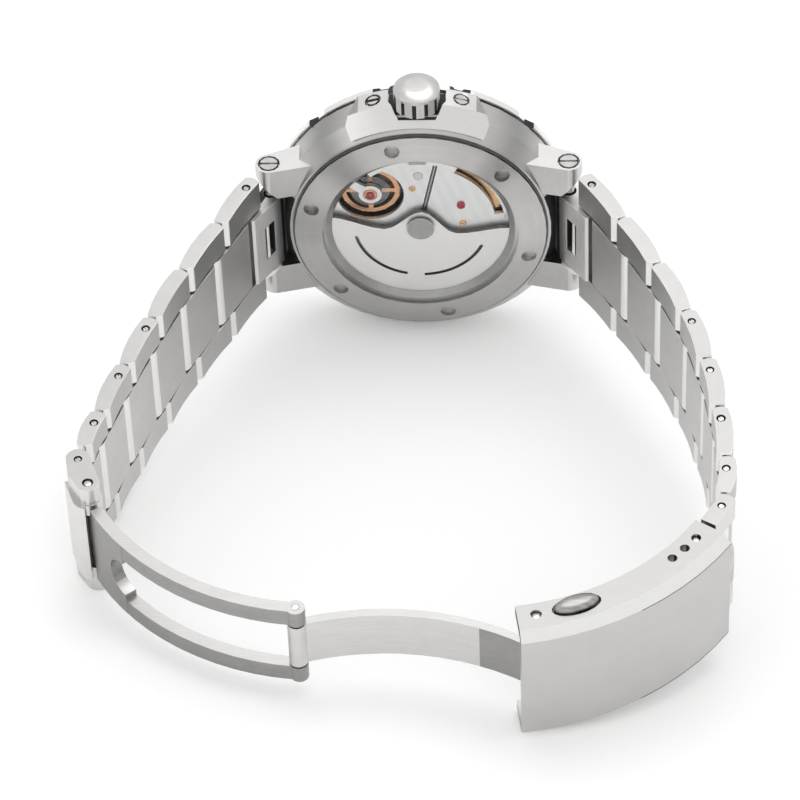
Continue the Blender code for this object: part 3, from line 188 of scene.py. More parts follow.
def steel(name, how, tone, rough, bump=0.08, spread=0.12, fine=9.0, paintedLightDrift=None, reflectionSweeps=()):
    # lines run along the bracelet, round the case, up the watch or along flat tops, and satin has none;
    # the drift paints light and shade as a tone change from the case to the clasp, the sweeps paint reflections as
    # darker and lighter bands at angles round the case
    material, start, place = newMaterial(name)
    x, y, z = split(start, place)
    slow = steelLook["slow"]
    ways = {
        "long": lambda: (x * slow, y * slow, z * fine),
        "round": lambda: ((x * x + z * z) ** 0.5 * fine, y * fine, (x + z) * steelLook["arc"]),
        "tall": lambda: (x * fine, y * fine, z * slow),
        "flat": lambda: (x * slow, y * fine, z * slow),
        "satin": lambda: (x * fine, y * fine, z * fine),
    }
    lines = start.noise(joinUp(start, *ways[how]()), detail=4.0, rough=0.6)
    patches = start.noise(place, scale=0.35)
    mixed = lines * steelLook["lines"] + patches * steelLook["patches"]
    level = mixed.ramp(*steelLook["contrast"], tone * (1 - spread), tone * (1 + spread))
    if paintedLightDrift:
        near, far, share = paintedLightDrift
        level = level * y.ramp(near, far, 1.0, share)
    if reflectionSweeps:
        angle = x.calc("ARCTAN2", z, x)
        for middle, width, share in reflectionSweeps:
            away = angle - math.radians(middle)
            away = away.calc("ABSOLUTE", away)
            away = away.calc("MINIMUM", away, 2 * math.pi - away)
            level = level * away.ramp(0.0, math.radians(width), share, 1.0)
    green, blue = steelLook["greenBlue"]
    colour = start.add("ShaderNodeCombineColor", {}, {0: level, 1: level * green, 2: level * blue})
    finishMaterial(start, {
        "Base Color": colour,
        "Roughness": (lines - 0.5) * spread * steelLook["lineGloss"] + (patches - 0.5) * spread + rough,
        "Metallic": 1.0,
    }, lines, bump, steelLook["depth"])
    return material


polishLook = {
    "smears": 0.6, "hairs": 14.0, "contrast": (0.35, 0.65), "dim": 0.93, "bright": 1.05,
    "tint": (1.0, 0.99, 0.97), "smearGloss": 0.1, "hairGloss": 0.05, "bump": 0.03, "depth": 0.01,
}


def polished(name, tone, rough):
    material, start, place = newMaterial(name)
    smears = start.noise(place, polishLook["smears"], 4.0)
    hairs = start.noise(place, polishLook["hairs"], 2.0)
    dark = [tone * polishLook["dim"] * share for share in polishLook["tint"]]
    light = [tone * polishLook["bright"] * share for share in polishLook["tint"]]
    gloss = (smears - 0.5) * polishLook["smearGloss"] + (hairs - 0.5) * polishLook["hairGloss"]
    finishMaterial(start, {
        "Base Color": smears.ramp(*polishLook["contrast"]).colours(dark, light),
        "Roughness": gloss + rough,
        "Metallic": 1.0,
    }, hairs, polishLook["bump"], polishLook["depth"])
    return material


waveLook = {
    "way": (0.94, 0.34), "pitch": 3.7, "lines": 16.0, "along": 0.4, "patches": 0.3,
    "shares": (0.1, 0.4, 0.3),                # of waves, lines and patches in the tone
    "contrast": (0.1, 0.62), "dim": 0.95, "bright": (1.03, 1.03, 1.02), "gloss": 0.16,
    "bump": 0.05, "depth": 0.04,
}


def striped(name, tone, rough):
    # plated plates with faint broad waves across them and fine lines along the waves
    material, start, place = newMaterial(name)
    x, y, z = split(start, place)
    across = x * waveLook["way"][0] + z * waveLook["way"][1]
    waves = across.calc("SINE", across * waveLook["pitch"])
    lines = start.noise(joinUp(start, across * waveLook["lines"], y, z * waveLook["along"]))
    patches = start.noise(place, waveLook["patches"], detail=2.0)
    waveShare, lineShare, patchShare = waveLook["shares"]
    shade = waves * waveShare + lines * lineShare + patches * patchShare
    dark = [tone * waveLook["dim"]] * 3
    light = [tone * share for share in waveLook["bright"]]
    finishMaterial(start, {
        "Base Color": shade.ramp(*waveLook["contrast"]).colours(dark, light),
        "Roughness": (lines - 0.5) * waveLook["gloss"] + rough,
        "Metallic": 1.0,
    }, waves * 0.5 + lines * 0.5, waveLook["bump"], waveLook["depth"])
    return material


coatLook = {"clouds": 0.15, "contrast": (0.35, 0.65), "gloss": 0.14, "depth": 0.02}


def plainCoat(name, colour, rough, spread=0.12, metallic=0.0, scale=3.0, bump=0.05, extra=None):
    material, start, place = newMaterial(name)
    grain = start.noise(place, scale, detail=4.0)
    clouds = start.noise(place, scale * coatLook["clouds"])
    mixed = grain * 0.5 + clouds * 0.5
    low = [part * (1 - spread) for part in colour]
    high = [min(1.0, part * (1 + spread)) for part in colour]
    finishMaterial(start, {
        "Base Color": mixed.ramp(*coatLook["contrast"]).colours(low, high),
        "Roughness": (grain - 0.5) * coatLook["gloss"] + rough,
        "Metallic": metallic,
        **(extra or {}),
    }, grain, bump, coatLook["depth"])
    return material


glassLook = {
    "smears": 0.4, "contrast": (0.3, 0.7), "dull": (0.75, 0.78, 0.8), "bright": (0.86, 0.88, 0.9),
    "rough": 0.02, "smearGloss": 0.05, "blend": 0.18, "rim": 0.25, "smearVeil": 0.01,
}


def crystalGlass(name, veil):
    # clear plate: see-through face on, brighter at a low angle, with faint smears
    material, start, place = newMaterial(name)
    smears = start.noise(place, glassLook["smears"], detail=4.0)
    rim = start.add("ShaderNodeLayerWeight", {}, {"Blend": glassLook["blend"]}, "Fresnel")
    clear = start.add("ShaderNodeBsdfTransparent", {}, {"Color": white})
    tone = smears.ramp(*glassLook["contrast"]).colours(glassLook["dull"], glassLook["bright"])
    gloss = start.add("ShaderNodeBsdfPrincipled", {}, {
        "Base Color": tone, "Metallic": 1.0,
        "Roughness": smears * glassLook["smearGloss"] + glassLook["rough"]})
    factor = rim * glassLook["rim"] + veil + smears * glassLook["smearVeil"]
    mixed = start.add("ShaderNodeMixShader", {}, {0: factor, 1: clear, 2: gloss})
    start.add("ShaderNodeOutputMaterial", {}, {"Surface": mixed})
    return material


lacquerLook = {
    "rays": 40.0, "grain": 20.0, "contrast": (0.3, 0.7), "dim": 0.6, "bright": 1.6,
    "rough": 0.28, "rayGloss": 0.15, "metal": 0.2, "bump": 0.015, "depth": 0.01,
}


def sunDial(name, colour):
    # dark lacquer with faint rays from the centre
    material, start, place = newMaterial(name)
    x, y, z = split(start, place)
    angle = x.calc("ARCTAN2", z, x)
    rays = start.noise(joinUp(start, angle * lacquerLook["rays"], 0.0, 0.0))
    grain = start.noise(place, lacquerLook["grain"], detail=2.0)
    dark = [part * lacquerLook["dim"] for part in colour]
    light = [part * lacquerLook["bright"] for part in colour]
    finishMaterial(start, {
        "Base Color": rays.ramp(*lacquerLook["contrast"]).colours(dark, light),
        "Roughness": rays * lacquerLook["rayGloss"] + lacquerLook["rough"],
        "Metallic": lacquerLook["metal"],
    }, grain, lacquerLook["bump"], lacquerLook["depth"])
    return material


# painted reflections on the round steel: angle round the case, half width and share of the tone
paintedReflectionSweeps = ((131, 17, 0.62), (47, 15, 0.66), (90, 26, 1.12), (172, 24, 0.78), (5, 34, 1.2),
              (270, 40, 0.95))
# the steel tones are lit and shaded copies of one steel, given to faces by the way they point: pale tops, lugs and
# white facets are painted light, and dark insides, rail sides and shade are painted shade
# steel: name, way of the lines, tone, roughness, bump, spread of the tone, fineness, painted light drift as y, y
# and share
# plainCoat: name, colour, roughness, spread, metal, scale of the grain, bump
mats = {
    "long": steel("brushedLong", "long", 0.6, 0.3, 0.06),
    "round": steel("brushedRound", "round", 0.6, 0.3, 0.05, 0.06, 9.0, None, paintedReflectionSweeps),
    "linkTop": steel("linkTops", "satin", 0.64, 0.34, 0.01, 0.03, 0.5, (-8.0, -46.0, 0.86)),
    "linkInnerShade": steel("shadedLinkInsides", "long", 0.33, 0.34, 0.04, 0.08, 9.0, (-16.0, -36.0, 1.9)),
    "linkPlate": steel("linkPlates", "long", 0.54, 0.33, 0.03, 0.06, 9.0, (-10.0, -46.0, 1.32)),
    "endPlate": steel("endPlates", "tall", 0.84, 0.32, 0.03, 0.04),
    # painted highlight: a white copy of the steel for bevels, link end bars, the bezel and rivets
    "highlightFacet": steel("paintedHighlightFacets", "satin", 1.0, 0.3, 0.004, 0.02, 0.4),
    "lug": steel("litLugFaces", "satin", 0.76, 0.34, 0.01, 0.03, 0.5),
    "guard": steel("guardSteel", "tall", 0.82, 0.33, 0.03, 0.04, 6.0),
    "coverFace": steel("coverFace", "satin", 0.66, 0.32, 0.004, 0.025, 0.12),
    "coverTop": steel("coverTop", "flat", 0.54, 0.36, 0.01, 0.03, 2.0),
    "railTop": steel("railTop", "flat", 0.6, 0.34, 0.03, 0.06, 5.0),
    "railSideShade": steel("railSideShade", "long", 0.36, 0.34, 0.04, 0.12, 6.0, (-62.0, -80.0, 1.1)),
    "strip": steel("stripSteel", "long", 0.78, 0.3, 0.02, 0.05, 6.0),
    "button": steel("buttonSteel", "flat", 0.42, 0.32, 0.1, 0.35, 3.0),
    "satin": steel("satinSteel", "satin", 0.7, 0.3, 0.05),
    "dome": steel("domeSteel", "flat", 0.68, 0.3, 0.05, 0.08, 6.0),
    "polished": polished("polishedSteel", 0.78, 0.13),
    # painted shade: a dark steel for walls and gaps in shade
    "shade": steel("shadedSteel", "satin", 0.17, 0.4, 0.04),
    # painted shade: black for recesses, gaps, notches and hollows where shade falls
    "dark": plainCoat("paintedShadeBlack", (0.02, 0.02, 0.021), 0.5, 0.2, 0.3, 4.0, 0.05),
    "plate": striped("rhodiumPlate", 0.93, 0.4),
    "rotor": steel("rotorSteel", "round", 1.0, 0.5, 0.03, 0.02, 9.0),
    "hub": steel("hubSteel", "tall", 0.45, 0.34, 0.05),
    "gilt": plainCoat("giltBrass", (0.83, 0.52, 0.27), 0.26, 0.14, 1.0, 6.0),
    "copper": plainCoat("copperAlloy", (0.78, 0.43, 0.25), 0.24, 0.14, 1.0, 6.0),
    "ruby": plainCoat("ruby", (0.42, 0.02, 0.07), 0.08, 0.2, 0.0, 2.0, 0.02, {"Coat Weight": 0.6}),
    "rubber": plainCoat("blackRubber", (0.018, 0.018, 0.019), 0.7, 0.3, 0.0, 5.0, 0.15),
    "ceramic": plainCoat("blackCeramic", (0.012, 0.012, 0.014), 0.16, 0.25, 0.0, 4.0, 0.02,
                         {"Coat Weight": 0.4}),
    "paint": plainCoat("paleInk", (0.72, 0.72, 0.68), 0.45, 0.06, 0.0, 8.0, 0.05),
    "lume": plainCoat("lumePaste", (0.78, 0.84, 0.74), 0.6, 0.05, 0.0, 10.0, 0.12),
    "dial": sunDial("dialLacquer", (0.016, 0.017, 0.019)),
    "frontGlass": crystalGlass("frontGlass", 0.03),
    "backGlass": crystalGlass("backGlass", 0.0),
}
print("materials", len(mats))


# mesh helpers, all in the watch's millimetres unless a name says otherwise
weldGap = 1e-7                  # gaps in metres
mergeGap = 2e-6
sliceGap = 1e-6
flatAngle = math.radians(0.7)
bevelAngle = math.radians(28)
edgeSlot = 1                    # a piece's second finish is on its rounded edges


def addObject(name, mesh):
    obj = bpy.data.objects.new(name, mesh)
    bpy.context.scene.collection.objects.link(obj)
    return obj


def fromParts(name, spots, faces):
    mesh = bpy.data.meshes.new(name)
    shape = bmesh.new()
    corners = [shape.verts.new(watch @ (Vector(spot) * mm)) for spot in spots]
    for face in faces:
        shape.faces.new([corners[index] for index in face])
    bmesh.ops.remove_doubles(shape, verts=shape.verts, dist=weldGap)
    bmesh.ops.recalc_face_normals(shape, faces=shape.faces)
    shape.to_mesh(mesh)
    shape.free()
    return addObject(name, mesh)


def lathe(name, profile, centre, axis, sides):
    # a profile of (radius, rise) turned about an axis through a centre; a radius of 0 closes it
    up = Vector(axis).normalized()
    first = up.orthogonal().normalized()
    second = up.cross(first)
    spots = []
    faces = []
    for station in range(sides):
        angle = 2 * math.pi * station / sides
        ray = first * math.cos(angle) + second * math.sin(angle)
        spots += [Vector(centre) + ray * r + up * rise for r, rise in profile]
    count = len(profile)
    for station in range(sides):
        here = station * count
        there = (station + 1) % sides * count
        for i in range(count - 1):
            face = [here + i, here + i + 1, there + i + 1, there + i]
            if profile[i][0] == 0:
                face = [here + i, here + i + 1, there + i + 1]
            elif profile[i + 1][0] == 0:
                face = [here + i, here + i + 1, there + i]
            faces.append(face)
    return fromParts(name, spots, faces)


def prism(name, outline, low, high, lift):
    # an outline pushed from low to high; lift turns (a, b, height) into a point
    count = len(outline)
    spots = [lift(a, b, low) for a, b in outline] + [lift(a, b, high) for a, b in outline]
    faces = [list(range(count)), list(range(count, 2 * count))]
    faces += [[i, (i + 1) % count, count + (i + 1) % count, count + i] for i in range(count)]
    return fromParts(name, spots, faces)


def plug(name, radius, low, high, centre, axis, sides):
    # a round rod that cuts a hole
    return lathe(name, [(0, low), (radius, low), (radius, high), (0, high)], centre, axis, sides)


def onBack(a, b, height):
    return Vector((a, height, b))


def onCrownSide(a, b, height):
    return Vector((a, b, height))


def onGuard(a, b, height):
    # a spot on the guard's slanted face
    return crownLook["spot"] + Vector((a, 0, 0)) + crownLook["up"] * b + crownLook["face"] * height


def arcPoints(x, z, radius, start, end, steps):
    turns = [math.radians(start + (end - start) * i / steps) for i in range(steps + 1)]
    return [(x + radius * math.cos(turn), z + radius * math.sin(turn)) for turn in turns]


def arcBand(inner, outer, first, last, steps):
    # the outline between two radii about the case's axis
    return arcPoints(0, 0, outer, first, last, steps) + arcPoints(0, 0, inner, last, first, steps)


def bake(obj):
    graph = bpy.context.evaluated_depsgraph_get()
    mesh = bpy.data.meshes.new_from_object(obj.evaluated_get(graph))
    obj.modifiers.clear()
    obj.data = mesh
    return obj


def cutAway(obj, *tools):
    for tool in tools:
        modifier = obj.modifiers.new("cut", "BOOLEAN")
        modifier.operation = "DIFFERENCE"
        modifier.solver = "EXACT"
        modifier.object = tool
        bake(obj)
        bpy.data.objects.remove(tool)
    return obj


def soften(obj, width, segments=2, slot=-1):
    # small round edges whose normals leave the flats flat
    modifier = obj.modifiers.new("edge", "BEVEL")
    modifier.width = width * mm
    modifier.segments = segments
    modifier.limit_method = "ANGLE"
    modifier.angle_limit = bevelAngle
    modifier.use_clamp_overlap = True
    modifier.material = slot
    bake(obj)
    return smooth(obj)


def smooth(obj, angle=40, weighted=True):
    obj.data.shade_smooth()
    obj.data.set_sharp_from_angle(angle=math.radians(angle))
    if weighted:
        modifier = obj.modifiers.new("normals", "WEIGHTED_NORMAL")
        modifier.keep_sharp = True
        bake(obj)
    return obj


def coat(obj, *names):
    obj.data.materials.clear()
    for name in names:
        obj.data.materials.append(mats[name])
    return obj


def paintFaces(obj, pick, overEdges=False):
    # pick takes a face's middle and outward direction in the watch's frame and gives a finish or None
    inverse = turnOnly.transposed()
    slots = {material.name: i for i, material in enumerate(obj.data.materials)}
    for face in obj.data.polygons:
        if face.material_index == edgeSlot and not overEdges:
            continue
        finish = pick(toLocal @ face.center / mm, inverse @ face.normal)
        if finish:
            face.material_index = slots[mats[finish].name]
    return obj


def sliceFaces(obj, spot, way):
    # cuts faces along a plane, so that a strip of them can take its own finish
    shape = bmesh.new()
    shape.from_mesh(obj.data)
    bmesh.ops.bisect_plane(shape, geom=shape.verts[:] + shape.edges[:] + shape.faces[:], dist=sliceGap,
                           plane_co=watch @ (spot * mm), plane_no=turnOnly @ way)
    shape.to_mesh(obj.data)
    shape.free()


def settle(obj, body, slot, *replaced):
    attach(obj, body)
    if replaced:
        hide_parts(*replaced)
    return obj


def copyOf(node, name):
    # the node's solid again, with doubles merged and flat faces made whole
    source = nodes[node].data
    mesh = bpy.data.meshes.new(name)
    mesh.from_pydata([corner.co for corner in source.vertices], [],
                     [face.vertices[:] for face in source.polygons])
    shape = bmesh.new()
    shape.from_mesh(mesh)
    bmesh.ops.remove_doubles(shape, verts=shape.verts, dist=mergeGap)
    bmesh.ops.dissolve_limit(shape, angle_limit=flatAngle, use_dissolve_boundaries=False,
                             verts=shape.verts, edges=shape.edges, delimit=set())
    bmesh.ops.recalc_face_normals(shape, faces=shape.faces)
    shape.to_mesh(mesh)
    shape.free()
    return addObject(name, mesh)


def joinAll(name, parts):
    # several objects into one, keeping each one's materials
    shape = bmesh.new()
    used = []
    for part in parts:
        before = len(shape.faces)
        shape.from_mesh(part.data)
        shape.faces.ensure_lookup_table()
        for face in shape.faces[before:]:
            material = part.data.materials[face.material_index]
            if material not in used:
                used.append(material)
            face.material_index = used.index(material)
        bpy.data.objects.remove(part)
    mesh = bpy.data.meshes.new(name)
    shape.to_mesh(mesh)
    shape.free()
    for material in used:
        mesh.materials.append(material)
    return addObject(name, mesh)


# geometry trees: one sets shapes round an axis, one sets them on points, one winds a spring
def newGeometryTree(name, sockets):
    tree = bpy.data.node_groups.new(name, "GeometryNodeTree")
    for label, kind in sockets:
        tree.interface.new_socket(label, in_out="INPUT", socket_type=kind)
    tree.interface.new_socket("Geometry", in_out="OUTPUT", socket_type="NodeSocketGeometry")
    start = Wire(tree)
    source = start.add("NodeGroupInput").socket.node
    return tree, start, {socket.name: Wire(tree, socket) for socket in source.outputs if socket.name}


def finishTree(start, made, material):
    made = start.add("GeometryNodeRealizeInstances", {}, {0: made})
    made = start.add("GeometryNodeSetMaterial", {}, {"Geometry": made, "Material": material})
    start.add("NodeGroupOutput", {}, {0: made})


def givenShape(start, given):
    return start.add("GeometryNodeObjectInfo", {"transform_space": "ORIGINAL"}, {"Object": given["Shape"]},
                     "Geometry")


def ringTree():
    tree, start, given = newGeometryTree("shapesRoundAxis", [
        ("Geometry", "NodeSocketGeometry"), ("Shape", "NodeSocketObject"), ("Count", "NodeSocketInt"),
        ("Radius", "NodeSocketFloat"), ("Start", "NodeSocketFloat"), ("Step", "NodeSocketFloat"),
        ("Material", "NodeSocketMaterial")])
    index = start.add("GeometryNodeInputIndex")
    angle = given["Start"] + index * given["Step"]
    along = angle.calc("COSINE", angle) * given["Radius"]
    up = angle.calc("SINE", angle) * given["Radius"]
    points = start.add("GeometryNodePoints", {}, {
        "Count": given["Count"], "Position": joinUp(start, along, 0.0, up)})
    shape = givenShape(start, given)
    turn = start.add("FunctionNodeEulerToRotation", {}, {0: joinUp(start, 0.0, 0.0 - angle, 0.0)})
    made = start.add("GeometryNodeInstanceOnPoints", {}, {
        "Points": points, "Instance": shape, "Rotation": turn})
    finishTree(start, made, given["Material"])
    return tree


def pointTree():
    tree, start, given = newGeometryTree("shapesOnPoints", [
        ("Geometry", "NodeSocketGeometry"), ("Shape", "NodeSocketObject"), ("Size", "NodeSocketFloat"),
        ("Seed", "NodeSocketInt"), ("Material", "NodeSocketMaterial")])
    shape = givenShape(start, given)
    aim = start.add("GeometryNodeInputNamedAttribute", {"data_type": "FLOAT_VECTOR"}, {"Name": "aim"})
    turn = start.add("FunctionNodeAlignRotationToVector", {"axis": "Z"}, {"Vector": aim})
    spin = start.add("FunctionNodeRandomValue", {"data_type": "FLOAT"},
                     {2: 0.0, 3: math.pi, "Seed": given["Seed"]}, 1)
    spin = start.add("FunctionNodeEulerToRotation", {}, {0: joinUp(start, 0.0, 0.0, spin)})
    turn = start.add("FunctionNodeRotateRotation", {"rotation_space": "LOCAL"}, {0: turn, 1: spin})
    size = joinUp(start, given["Size"], given["Size"], given["Size"])
    made = start.add("GeometryNodeInstanceOnPoints", {}, {
        "Points": given["Geometry"], "Instance": shape, "Rotation": turn, "Scale": size})
    finishTree(start, made, given["Material"])
    return tree


def springTree():
    tree, start, given = newGeometryTree("woundSpring", [
        ("Geometry", "NodeSocketGeometry"), ("Turns", "NodeSocketFloat"), ("Inner", "NodeSocketFloat"),
        ("Outer", "NodeSocketFloat"), ("Wire", "NodeSocketFloat"), ("Material", "NodeSocketMaterial")])
    path = start.add("GeometryNodeCurveSpiral", {}, {
        "Resolution": 40, "Rotations": given["Turns"], "Start Radius": given["Inner"],
        "End Radius": given["Outer"], "Height": 0.0})
    # a ribbon, four times as tall as it is thick
    section = start.add("GeometryNodeCurvePrimitiveQuadrilateral", {}, {
        "Width": given["Wire"] * 0.5, "Height": given["Wire"] * 2.0})
    made = start.add("GeometryNodeCurveToMesh", {}, {
        "Curve": path, "Profile Curve": section, "Fill Caps": True})
    finishTree(start, made, given["Material"])
    return tree


trees = {"ring": ringTree(), "points": pointTree(), "spring": springTree()}


def grow(name, tree, values, base=None):
    # runs a tree on an object and keeps the mesh it makes
    obj = addObject(name, base or bpy.data.meshes.new(name))
    modifier = obj.modifiers.new("grow", "NODES")
    modifier.node_group = trees[tree]
    for item in trees[tree].interface.items_tree:
        if item.in_out == "INPUT" and item.name in values:
            modifier[item.identifier] = values[item.name]
    bake(obj)
    return obj


sources = []                    # shapes for the trees to copy, deleted at the end


def shapeSource(name, spots, faces):
    # a small shape about its own origin, in metres
    mesh = bpy.data.meshes.new(name)
    mesh.from_pydata([Vector(spot) * mm for spot in spots], [], faces)
    shape = bmesh.new()
    shape.from_mesh(mesh)
    bmesh.ops.recalc_face_normals(shape, faces=shape.faces)
    shape.to_mesh(mesh)
    shape.free()
    obj = addObject(name, mesh)
    obj.hide_render = True
    sources.append(obj)
    return obj


def blockSource(name, length, rises, width):
    # a bar, by half its length, its low and high faces and half its width
    spots = [(a, b, c) for a in (-length, length) for b in rises for c in (-width, width)]
    faces = [(0, 1, 3, 2), (4, 6, 7, 5), (0, 4, 5, 1), (2, 3, 7, 6), (0, 2, 6, 4), (1, 5, 7, 3)]
    return shapeSource(name, spots, faces)


# a screw head of radius 1: half its slot, its height, foot, shoulder, top and slot floor
headLook = {"slot": 0.16, "rise": 0.5, "foot": -0.2, "shoulder": 0.75, "top": 0.88, "floor": 0.1, "sides": 24}


def slottedHead(name):
    # faces +Z: a disc with a rounded rim and a straight slot across it
    half, rise, top, sides = (headLook[key] for key in ("slot", "rise", "top", "sides"))
    spots = []
    faces = []
    reach = math.asin(half)
    for side in (1, -1):
        turns = [reach + (math.pi - 2 * reach) * i / sides for i in range(sides + 1)]
        rim = [(math.cos(turn), side * math.sin(turn)) for turn in turns]
        base = len(spots)
        count = len(rim)
        spots += [(x, y, headLook["foot"]) for x, y in rim]
        spots += [(x, y, rise * headLook["shoulder"]) for x, y in rim]
        spots += [(x * top, max(half, abs(y) * top) * side, rise) for x, y in rim]
        for ring in range(2):
            low = base + ring * count
            for i in range(count):
                j = (i + 1) % count
                faces.append((low + i, low + j, low + count + j, low + count + i))
        faces.append(tuple(base + 2 * count + i for i in range(count)))
    base = len(spots)
    turns = [2 * math.pi * i / sides for i in range(sides)]
    spots += [(math.cos(turn), math.sin(turn), rise * headLook["floor"]) for turn in turns]
    faces.append(tuple(base + i for i in range(sides)))
    return shapeSource(name, spots, faces)


def domeSource(name, profile, sides=24):
    turns = [2 * math.pi * i / sides for i in range(sides)]
    spots = [(r * math.cos(turn), r * math.sin(turn), rise) for r, rise in profile for turn in turns]
    faces = []
    for low in range(0, (len(profile) - 1) * sides, sides):
        for i in range(sides):
            j = (i + 1) % sides
            faces.append((low + i, low + j, low + sides + j, low + sides + i))
    faces.append(tuple((len(profile) - 1) * sides + i for i in range(sides)))
    return shapeSource(name, spots, faces)


def scatter(name, shape, spots, size, material, seed=3):
    # spots are (place, aim) in the watch's millimetres; the shape's +Z points along aim
    mesh = bpy.data.meshes.new(name)
    mesh.from_pydata([watch @ (Vector(place) * mm) for place, aim in spots], [], [])
    aims = mesh.attributes.new("aim", "FLOAT_VECTOR", "POINT")
    for i, (place, aim) in enumerate(spots):
        aims.data[i].vector = turnOnly @ Vector(aim)
    values = {"Shape": shape, "Size": size, "Seed": seed, "Material": mats[material]}
    return smooth(grow(name, "points", values, mesh), angle=35, weighted=False)


def ringOf(name, shape, count, radius, y, material, start=0.0, centre=(0.0, 0.0)):
    values = {"Shape": shape, "Count": count, "Radius": radius * mm, "Start": start,
              "Step": 2 * math.pi / count, "Material": mats[material]}
    made = grow(name, "ring", values)
    made.data.transform(watch @ Matrix.Translation(Vector((centre[0], y, centre[1])) * mm))
    return smooth(made, angle=30, weighted=False)


# radius and rise of each level
domes = {
    "jewel": [(1.0, 0.0), (1.0, 0.35), (0.86, 0.42), (0.5, 0.3), (0.2, 0.12), (0.1, 0.1)],
    "setting": [(1.45, -0.1), (1.45, 0.3), (1.3, 0.42), (1.08, 0.4), (1.0, 0.25)],
    "rivet": [(1.0, -0.2), (1.0, 0.12), (0.9, 0.3), (0.65, 0.45), (0.3, 0.52)],
}
domeShapes = {name: domeSource(name + "Shape", profile) for name, profile in domes.items()}
screwHead = slottedHead("screwHeadShape")
print("trees and shapes ready")


# bracelet links
linkLook = {
    "edge": 0.14, "plateHalf": 6.55, "bar": 0.35,                  # bar is the strip at a link's end painted bright as a highlight
    "recess": 0.6, "depth": 0.34, "sink": 0.05, "shift": 0.25, "reach": 2.0, "sides": 20,
    "head": 0.42, "lift": 0.02,                                    # screw in its recess
    "nearPin": 2.1, "rim": 0.1, "rimFrom": 8, "rimUnder": 0.02,    # where tops are read, and rims take painted shade
    "flat": 0.7, "front": 0.35, "frontFrom": 0.35, "inside": 0.3,  # how squarely a face looks that way
}
endLook = {
    "edge": 0.14, "window": (1.7, 4.0), "half": 3.15, "deep": (0.5, 1.7), "bar": (2.85, 1.15),
    "barReach": 0.5, "barrel": 1.0, "outside": -0.3, "inside": 0.6, "flat": 0.7,
}
pinned = {"left": (1, 4, 5, 6, 7), "right": (1, 4, 5, 6, 7, 8)}    # links whose pins show a screw
lengths = {"left": 7, "right": 8}
chainEnds = {"left": "blade_pivot", "right": "cover_pivot"}


def armAxes(here, there, label):
    # unit way from one pin to the next, the inward direction and the pitch, in the watch's millimetres
    way = Vector((there.x - here.x, there.y - here.y, 0))
    pitch = way.length
    way.normalize()
    inwards = Vector((-way.y, way.x, 0)) if label == "left" else Vector((way.y, -way.x, 0))
    return way, inwards, pitch


def linkAxes(label, order):
    here = localPin(f"{label}_link_{order}_pivot")
    last = order == lengths[label]
    there = localPin(chainEnds[label] if last else f"{label}_link_{order + 1}_pivot")
    return here, *armAxes(here, there, label)


def screwSeats(obj, here, way, low, high):
    # cuts a recess at both ends of a pin and gives the places of the screws
    tools = []
    heads = []
    for top, sign in ((high, 1), (low, -1)):
        up = Vector((0, 0, sign))
        floor = Vector((here.x, here.y, top)) + way * linkLook["shift"]
        floor -= up * (linkLook["sink"] + linkLook["depth"])
        tools.append(plug("recess", linkLook["recess"], 0, linkLook["reach"], floor, up, linkLook["sides"]))
        heads.append((floor + up * linkLook["lift"], up))
    cutAway(obj, *tools)
    return heads


def dressLink(label, order):
    node = f"{label}_link_{order}"
    obj = copyOf(node, f"{label}Link{order}")
    here, way, inwards, pitch = linkAxes(label, order)
    spots = [toLocal @ corner.co / mm for corner in nodes[node].data.vertices]
    heights = [spot.z for spot in spots if (spot.xy - here.xy).length < linkLook["nearPin"]]
    heads = []
    if order in pinned[label]:
        heads = screwSeats(obj, here, way, min(heights), max(heights))
    last = order == lengths[label]
    barFrom = pitch - linkLook["bar"]
    if not last:
        sliceFaces(obj, here + way * barFrom, way)
    coat(obj, "linkInnerShade", "polished", "dark", "linkTop", "linkPlate", "highlightFacet", "long", "endPlate")
    soften(obj, linkLook["edge"], slot=edgeSlot)

    # faces are painted by the way they point: tops, front facets and the end bars take painted light, and the
    # insides of the side pieces take painted shade
    def pick(middle, out):
        if abs(out.z) > linkLook["flat"]:
            return "linkTop"
        if last:
            return "endPlate"
        along = (middle - here).dot(way)
        if out.dot(way) > linkLook["front"] and along > pitch * linkLook["frontFrom"]:
            return "highlightFacet"
        if out.dot(inwards) > linkLook["inside"]:
            if along > barFrom:
                return "highlightFacet"
            return "linkInnerShade" if middle.z > linkLook["plateHalf"] else "linkPlate"
        return "long"

    # painted shade in the recess round each screw head
    def rims(middle, out):
        away = min((middle.xy - place.xy).length for place, aim in heads)
        near = away < linkLook["recess"] + linkLook["rim"]
        under = linkLook["rimFrom"] < abs(middle.z) < max(heights) - linkLook["rimUnder"]
        return "dark" if near and under else None

    paintFaces(obj, pick)
    if heads:
        paintFaces(obj, rims, True)
    settle(obj, node, "brushed_steel", node)
    if heads:
        screws = scatter(f"{label}Pins{order}", screwHead, heads, linkLook["head"], "polished", order)
        settle(screws, node, "polished_steel")


